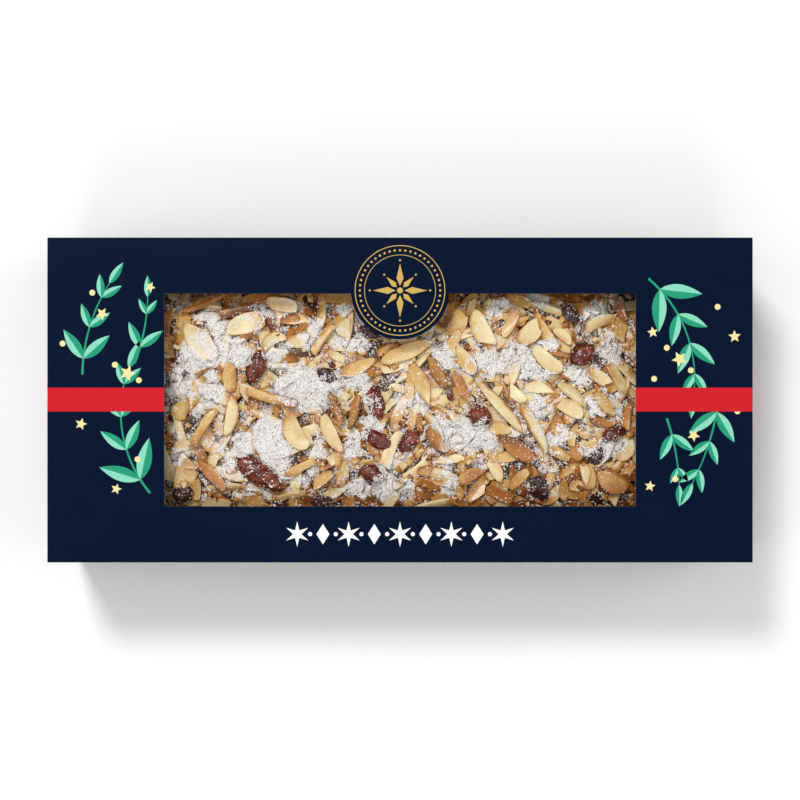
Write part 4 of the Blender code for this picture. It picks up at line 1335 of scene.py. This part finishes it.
def heap_up():
    """Fills the topping with slices, slivers and nibs, each resting on those below it."""
    relief = Relief(crust + 1.0 * MM)
    draw = np.random.RandomState(21)
    hill = value_noise(mesh_x, mesh_y, 11 * MM, 3) * 1.6 * MM + value_noise(mesh_x, mesh_y, 5 * MM, 4) * 1.0 * MM
    ceiling = crust + 3.6 * MM + hill
    ceiling = np.where(hero_floor < 1.0, np.minimum(ceiling, hero_floor + 0.35 * MM), ceiling)
    groups = {}
    for kind in ("slice", "sliver"):
        for tone_name in ("cream", "golden", "toasted"):
            groups[kind, tone_name] = Gathered()
    nibs = {"cream": Gathered(), "golden": Gathered(), "toasted": Gathered()}
    tones = ("cream", "golden", "toasted")
    for layer, (tries, big, tone_shares) in enumerate(
        ((900, 1.0, (0.36, 0.38, 0.26)), (1900, 1.0, (0.48, 0.34, 0.18)), (2600, 0.86, (0.52, 0.32, 0.16)))
    ):
        for _ in range(tries):
            x = draw.uniform(-REACH_X, REACH_X) * 0.985
            y = draw.uniform(-REACH_Y, REACH_Y) * 0.97
            turn = draw.uniform(0, math.pi)
            kind = "slice" if draw.rand() < 0.36 else "sliver"
            tone_name = tones[draw.choice(3, p=tone_shares)]
            if kind == "slice":
                length = draw.uniform(9.0, 15.5) * MM * big
                sizes = (length, length * draw.uniform(0.34, 0.56), draw.uniform(0.9, 1.4) * MM)
            else:
                length = draw.uniform(9.0, 19.0) * MM * big
                sizes = (length, draw.uniform(2.6, 4.3) * MM, draw.uniform(1.2, 2.0) * MM)
            x, y = drawn_in(x, y, turn, sizes[0], sizes[1])
            # Toward the window's rim and the near right corner, pieces turn browner and the top layer thins so that the
            # dark bed shows; at the rim this is painted shade.
            darker = browner_and_rim_shade(x, y)
            if draw.rand() < 0.45 * darker:
                tone_name = "toasted" if tone_name == "golden" else "golden"
            if layer == 2 and draw.rand() < 0.5 * darker:
                continue
            rest = bed_piece(relief, ceiling, x, y, turn, sizes[0], sizes[1], sizes[2], 0.35 * MM)
            models = plain_slices if kind == "slice" else plain_slivers
            model = draw.randint(len(models))
            marks = draw.rand(4)
            if rest is None:
                continue
            middle, axes = rest
            groups[kind, tone_name].add(
                models[model], middle, axes, sizes, marks[0], (marks[1] - 0.2) * (0.9 if kind == "slice" else 0.3),
                (marks[2] - 0.5) * 0.5, (marks[3] - 0.5) * 0.9, (marks[1] - 0.5) * 0.35, (marks[3] - 0.5) * 0.7,
                (marks[0] - 0.5) * (1.5 if kind == "sliver" else 0.3),
            )
    for tone_name, places in UPPER.items():
        for x, y, turn, length, width in places:
            kind = "slice" if width > 0.36 * length else "sliver"
            sizes = (length * MM, width * MM, (1.2 if kind == "slice" else 1.7) * MM)
            loft = np.where(hero_floor < 1.0, hero_floor + 0.6 * MM, ceiling + 1.6 * MM)
            rest = bed_piece(relief, loft, x * MM, y * MM, math.radians(turn), *sizes, 0.5 * MM)
            models = plain_slices if kind == "slice" else plain_slivers
            model, marks = draw.randint(len(models)), draw.rand(4)
            if rest is None:
                continue
            cells = relief.cells_near(x * MM, y * MM, length * MM / 2)
            under, _, _ = ellipse_of(cells, x * MM, y * MM, math.radians(turn), length * MM, width * MM)
            swept[cells][under] = 0.45
            groups[kind, tone_name].add(
                models[model], *rest, sizes, marks[0], (marks[1] - 0.2) * (0.8 if kind == "slice" else 0.25),
                (marks[2] - 0.5) * 0.45, (marks[3] - 0.5) * 0.6, (marks[1] - 0.5) * 0.3, (marks[3] - 0.5) * 0.5,
                (marks[0] - 0.5) * (1.0 if kind == "sliver" else 0.25),
            )
    kernel, kernel_faces = model_kernel(3, 0.8)
    bit_points, bit_faces = [], []
    strewn = [(draw.uniform(-105, 105), draw.uniform(-47, 47), draw.uniform(0, 180), draw.uniform(3, 6.5), 0) for _ in range(70)]
    for x, y, turn, length, width in NUT_BITS + strewn:
        width = width or length * draw.uniform(0.5, 0.8)
        sizes = np.array([length, width, width * 0.8]) * MM
        loft = ceiling + (1.4 * MM if (x, y, turn, length, width) in NUT_BITS else 0.4 * MM)
        loft = np.where(hero_floor < 1.0, hero_floor + 0.35 * MM, loft)
        rest = bed_piece(relief, loft, x * MM, y * MM, math.radians(turn), *sizes, 0.9 * MM)
        if rest is None:
            continue
        shaped = wrinkled(kernel, sizes, 5.3 * len(bit_points), 0.16, 2.2)
        bit_points.append(rest[0] + shaped @ rest[1])
        bit_faces.append(kernel_faces + (len(bit_points) - 1) * len(kernel))
    bits, bit_faces = np.concatenate(bit_points), np.concatenate(bit_faces)
    nut_bits = mesh_piece("heap_nut_bits", bits, bit_faces, nut_skin, sugar=sugar_kept(bits[:, 0], bits[:, 1]) + 0.18)
    gathered_trees.append((bits, bit_faces))
    settle_in(nut_bits, "nut_skin")
    print("nut bits", len(bit_points))
    for _ in range(1900):
        x = draw.uniform(-REACH_X, REACH_X) * 0.985
        y = draw.uniform(-REACH_Y, REACH_Y) * 0.97
        size = draw.uniform(1.6, 4.4) * MM
        sizes = (size, size * draw.uniform(0.45, 0.9), size * draw.uniform(0.35, 0.6))
        turn = draw.uniform(0, math.pi)
        tone_name = tones[draw.choice(3, p=(0.5, 0.33, 0.17))]
        x, y = drawn_in(x, y, turn, sizes[0], sizes[1])
        # Fewer nibs toward the window's rim and the near right corner, so more dark bed shows; at the rim this is
        # painted shade.
        if draw.rand() < 0.6 * browner_and_rim_shade(x, y):
            continue
        rest = bed_piece(relief, ceiling + 0.5 * MM, x, y, turn, sizes[0], sizes[1], sizes[2], 0.3 * MM)
        marks = draw.rand(4)
        if rest is None:
            continue
        middle, axes = rest
        nibs[tone_name].add(chips[draw.randint(2)], middle, axes, sizes, marks[0], 0.0, (marks[2] - 0.5) * 0.3, 0.0)
    for (kind, tone_name), gathered in groups.items():
        gathered.piece(f"heap_{tone_name}_{kind}s", ALMONDS[tone_name], f"almond_{tone_name}")
        print(kind, tone_name, len(gathered.points), sum(len(f) for f in gathered.faces))
    for tone_name, gathered in nibs.items():
        gathered.piece(f"heap_{tone_name}_nibs", ALMONDS[tone_name], f"almond_{tone_name}", smooth_angle=20)
        print("nibs", tone_name, len(gathered.points), sum(len(f) for f in gathered.faces))
    relief.heights = np.maximum(relief.heights, hero_top)
    return relief


relief = heap_up()


def grid_faces(rows, columns):
    """Quads over a grid of points numbered row by row."""
    corner = (np.arange(rows - 1)[:, None] * columns + np.arange(columns - 1)[None, :]).ravel()
    return np.stack([corner, corner + 1, corner + columns + 1, corner + columns], 1)


def lay_bed():
    """The brown bed that the almonds stick in: a closed shell over the crust, ending at its rim."""
    step = 3
    xs, ys = mesh_x[::step, ::step], mesh_y[::step, ::step]
    lumps = value_noise(xs, ys, 4 * MM, 31) * 1.4 * MM + value_noise(xs, ys, 1.7 * MM, 32) * 0.5 * MM
    top = crust[::step, ::step] + 0.9 * MM + lumps
    rows, columns = xs.shape
    under = crust[::step, ::step] - 1.2 * MM
    points = np.concatenate([np.stack([xs, ys, top], -1).reshape(-1, 3), np.stack([xs, ys, under], -1).reshape(-1, 3)])
    upper = grid_faces(rows, columns)
    inside = looked_down(loaf_tree, xs.ravel(), ys.ravel(), -1.0).reshape(rows, columns) > topping_low.z + 1.5 * MM
    keep = (inside[:-1, :-1] & inside[1:, :-1] & inside[:-1, 1:] & inside[1:, 1:]).ravel()
    upper = upper[keep]
    lower = upper[:, ::-1] + rows * columns
    edges = np.concatenate([upper[:, [0, 1]], upper[:, [1, 2]], upper[:, [2, 3]], upper[:, [3, 0]]])
    ordered = np.sort(edges, 1)
    _, index, counts = np.unique(ordered, axis=0, return_inverse=True, return_counts=True)
    border = edges[counts[index.reshape(-1)] == 1]
    shift = rows * columns
    skirt = np.stack([border[:, 1], border[:, 0], border[:, 0] + shift, border[:, 1] + shift], 1)
    faces = np.concatenate([upper, lower, skirt])
    used, faces = np.unique(faces, return_inverse=True)
    points = points[used]
    amount = sugar_amount(points[:, 0], points[:, 1]) * 0.8
    bed = mesh_piece("syrup_bed", points, faces.reshape(-1, 4), bed_brown_and_gap_shade, sugar=amount)
    triangles = np.concatenate([faces.reshape(-1, 4)[:, [0, 1, 2]], faces.reshape(-1, 4)[:, [0, 2, 3]]])
    gathered_trees.append((points, triangles))
    settle_in(bed, "almond_topping", "almond_topping")


lay_bed()


def bake_loaf():
    """The loaf under its topping: the CAD body, rounded, with the blisters of an oven-browned crust."""
    node = frame["nodes"]["loaf"]
    loaf = node.copy()
    loaf.data = node.data.copy()
    loaf.name = "baked_loaf"
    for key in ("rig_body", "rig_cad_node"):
        if key in loaf:
            del loaf[key]
    loaf.parent = None
    bpy.context.scene.collection.objects.link(loaf)
    edit(loaf)
    bpy.ops.mesh.select_all(action="SELECT")
    bpy.ops.mesh.remove_doubles(threshold=0.00001)
    bpy.ops.mesh.tris_convert_to_quads()
    leave()
    apply_modifier(loaf, "SUBSURF", levels=2, render_levels=2)
    loaf.data.materials.clear()
    loaf.data.materials.append(loaf_crust)
    count = len(loaf.data.vertices)
    points, normals = np.zeros(count * 3), np.zeros(count * 3)
    loaf.data.vertices.foreach_get("co", points)
    loaf.data.vertices.foreach_get("normal", normals)
    points, normals = points.reshape(-1, 3), normals.reshape(-1, 3)
    lumps = np.array([noise.noise(Vector(p) * 60) * 0.9 + noise.noise(Vector(p) * 186) * 0.35 for p in points]) - 0.5
    lumps[points[:, 2] < 2 * MM] = 0
    points += normals * lumps[:, None] * MM
    loaf.data.vertices.foreach_set("co", points.ravel())
    loaf.data.update()
    layer = loaf.data.attributes.new("sugar", "FLOAT", "POINT")
    dusting = np.clip((points[:, 2] - loaf_low.z) / (loaf_high.z - loaf_low.z), 0, 1) * 0.5
    layer.data.foreach_set("value", (dusting * (0.5 + value_noise(points[:, 0], points[:, 1], 8 * MM, 9))).astype(np.float32))
    loaf.data.shade_smooth()
    settle_in(loaf, "baked_crust", "loaf")


bake_loaf()

# --------------------------------------------------------------------- sugar


def heap_tree():
    """A ray tree over everything on the loaf so far."""
    points, faces, first = [], [], 0
    for piece_points, piece_faces in gathered_trees:
        points.append(piece_points)
        faces.append(piece_faces + first)
        first += len(piece_points)
    points, faces = np.concatenate(points), np.concatenate(faces)
    return BVHTree.FromPolygons(points.tolist(), faces.tolist())


def drift_sugar():
    """Icing sugar where it lies thick: a closed granular skin that fills the hollows between pieces."""
    tree = heap_tree()
    step = 0.40 * MM
    half_x, half_y = 92 * MM, 44 * MM
    xs = np.arange(-half_x, half_x, step)
    ys = np.arange(-half_y, half_y, step)
    draw = np.random.RandomState(77)
    wide_x, wide_y = np.meshgrid(xs, ys)
    wide_x = wide_x + draw.uniform(-0.13, 0.13, wide_x.shape) * MM
    wide_y = wide_y + draw.uniform(-0.13, 0.13, wide_y.shape) * MM
    base = looked_down(tree, wide_x.ravel(), wide_y.ravel(), 0.03).reshape(wide_x.shape)
    soft = blurred(base, 2)[: base.shape[0], : base.shape[1]]
    broad = blurred(base, 5)[: base.shape[0], : base.shape[1]]
    amount = sugar_kept(wide_x.ravel(), wide_y.ravel()).reshape(wide_x.shape)
    fill = np.clip((amount - 0.42) / 0.45, 0, 1)
    clumps = value_noise(wide_x, wide_y, 0.9 * MM, 51) - 0.5 + 0.8 * (value_noise(wide_x, wide_y, 2.4 * MM, 52) - 0.5)
    hollow = np.clip((broad - base - 0.5 * MM) / MM, 0, 1)
    bedded = base + (np.maximum(soft * 0.25 + broad * 0.75, base) - base) * np.clip(0.06 + 1.1 * fill, 0, 1)
    level = np.minimum(bedded, base + 2.4 * MM) + (0.08 + 0.40 * fill + 0.38 * clumps * fill) * MM
    level = level * 0.35 + blurred(level, 1) * 0.65
    level = np.maximum(level, base + 0.05 * MM)
    level += draw.uniform(-0.18, 0.18, level.shape) * MM
    share = np.clip((amount + 0.7 * clumps - 0.33) / 0.42, 0, 1) + 0.4 * hollow
    over = draw.uniform(0, 1, level.shape) < share
    grown = over.copy()
    grown[1:] |= over[:-1]
    grown[:-1] |= over[1:]
    grown[:, 1:] |= over[:, :-1]
    grown[:, :-1] |= over[:, 1:]
    level = np.where(over, level, np.maximum(base - 0.30 * MM, level - 0.45 * MM))
    corners = np.stack([level[:-1, :-1], level[1:, :-1], level[:-1, 1:], level[1:, 1:]])
    keep = (grown[:-1, :-1] & grown[1:, :-1] & grown[:-1, 1:] & grown[1:, 1:]).ravel() & (np.ptp(corners, axis=0) < 0.95 * MM).ravel()
    rows, columns = level.shape
    upper = grid_faces(rows, columns)[keep]
    top = np.stack([wide_x, wide_y, level], -1).reshape(-1, 3)
    under = top.copy()
    under[:, 2] = np.minimum(base.ravel(), level.ravel()) - 0.35 * MM
    shift = rows * columns
    lower = upper[:, ::-1] + shift
    edges = np.concatenate([upper[:, [0, 1]], upper[:, [1, 2]], upper[:, [2, 3]], upper[:, [3, 0]]])
    _, index, counts = np.unique(np.sort(edges, 1), axis=0, return_inverse=True, return_counts=True)
    border = edges[counts[index.reshape(-1)] == 1]
    skirt = np.stack([border[:, 1], border[:, 0], border[:, 0] + shift, border[:, 1] + shift], 1)
    faces = np.concatenate([upper, lower, skirt])
    used, faces = np.unique(faces, return_inverse=True)
    points = np.concatenate([top, under])[used]
    faces = faces.reshape(-1, 4)
    print("drift quads", len(faces))
    drift = mesh_piece("icing_sugar_drifts", points, faces, icing_sugar, smooth=False)
    settle_in(drift, "almond_topping")
    gathered_trees.append((points, np.concatenate([faces[:, [0, 1, 2]], faces[:, [0, 2, 3]]])))


def strew_grains():
    """Loose grains of icing sugar on everything, thickest in and round the drifts."""
    tree = heap_tree()
    grain_points, grain_faces = model_grain()
    draw = np.random.RandomState(99)
    half_x, half_y = 90 * MM, 43 * MM
    for part in range(3):
        tries = 190000
        x = draw.uniform(-half_x, half_x, tries)
        y = draw.uniform(-half_y, half_y, tries)
        clumps = 0.8 * (value_noise(x, y, 0.9 * MM, 61) - 0.5) + 0.9 * (value_noise(x, y, 2.3 * MM, 62) - 0.5)
        amount = sugar_kept(x, y) * (1 + clumps)
        chance = np.clip((amount - 0.22) * 1.7, 0.010, 0.70) * np.clip((0.90 - amount) / 0.25, 0.15, 1)
        keep = draw.rand(tries) < chance
        x, y = x[keep][:48500], y[keep][:48500]
        z = looked_down(tree, x, y, np.nan)
        lands = ~np.isnan(z)
        x, y, z = x[lands], y[lands], z[lands]
        size = draw.uniform(0.28, 0.74, len(x)) * MM
        yaw, lean = draw.uniform(0, 2 * math.pi, len(x)), draw.normal(0, 0.35, (2, len(x)))
        shapes = np.stack(
            [
                grain_points[None, :, 0] * np.cos(yaw)[:, None] - grain_points[None, :, 1] * np.sin(yaw)[:, None],
                grain_points[None, :, 0] * np.sin(yaw)[:, None] + grain_points[None, :, 1] * np.cos(yaw)[:, None],
                np.broadcast_to(grain_points[None, :, 2], (len(x), len(grain_points))),
            ],
            -1,
        )
        shapes[:, :, 2] += shapes[:, :, 0] * lean[0][:, None] + shapes[:, :, 1] * lean[1][:, None]
        shapes *= size[:, None, None]
        shapes += np.stack([x, y, z + size * 0.12], -1)[:, None, :]
        count = len(grain_points)
        faces = (grain_faces[None] + (np.arange(len(x)) * count)[:, None, None]).reshape(-1, 3)
        grains = mesh_piece(f"icing_sugar_grains_{part + 1}", shapes.reshape(-1, 3), faces, loose_sugar, smooth=False)
        print("grains", len(x), len(faces))
        settle_in(grains, "almond_topping")


drift_sugar()
strew_grains()

# --------------------------------------------------- floor, lights and camera


def set_stage():
    floor_mesh = bpy.data.meshes.new("studio_floor")
    size = 4.0
    floor_mesh.from_pydata([(-size, -size, 0), (size, -size, 0), (size, size, 0), (-size, size, 0)], [], [(0, 1, 2, 3)])
    floor = bpy.data.objects.new("studio_floor", floor_mesh)
    bpy.context.scene.collection.objects.link(floor)
    pale = Finish("pale_floor", shade(253, 253, 253), 0.9, 0.1)
    floor_mesh.materials.append(pale.material)
    world = bpy.data.worlds.new("soft_room")
    bpy.context.scene.world = world
    world.use_nodes = True
    world.node_tree.nodes["Background"].inputs["Color"].default_value = (1.0, 1.0, 1.0, 1)
    seen = world.node_tree.nodes.new("ShaderNodeLightPath").outputs["Is Camera Ray"]
    strength = world.node_tree.nodes.new("ShaderNodeMapRange")
    strength.inputs["To Min"].default_value = 0.18
    strength.inputs["To Max"].default_value = 0.86
    world.node_tree.links.new(seen, strength.inputs["Value"])
    world.node_tree.links.new(strength.outputs["Result"], world.node_tree.nodes["Background"].inputs["Strength"])
    for name, place, size, power in (
        ("softbox_far_left", (-0.47, 0.94, 2.0), 0.42, 24.5),
        ("softbox_right", (1.55, 0.18, 1.75), 1.4, 11.5),
        ("softbox_near", (-0.10, -1.45, 1.8), 1.4, 11.5),
        ("softbox_left", (-1.7, -0.27, 1.75), 1.4, 7.5),
        ("softbox_over", (-0.15, 0.1, 2.3), 1.5, 8.0),
    ):
        light = bpy.data.lights.new(name, "AREA")
        light.shape = "SQUARE"
        light.size = size
        light.energy = power
        obj = bpy.data.objects.new(name, light)
        obj.location = place
        obj.rotation_euler = (-Vector(place)).to_track_quat("-Z", "Y").to_euler()
        bpy.context.scene.collection.objects.link(obj)


def set_camera():
    """Straight over the window, with a long lens; the frame is 283.3 mm wide at the carton's top."""
    lens, sensor, seen = 100.0, 36.0, 0.2833
    data = bpy.data.cameras.new("over_the_window")
    data.lens = lens
    data.sensor_width = sensor
    data.clip_start = 0.01
    camera = bpy.data.objects.new("over_the_window", data)
    camera.location = (0, 0, carton_high.z + seen * lens / sensor)
    bpy.context.scene.collection.objects.link(camera)
    bpy.context.scene.camera = camera
    bpy.context.scene.view_settings.view_transform = "Standard"


set_stage()
set_camera()
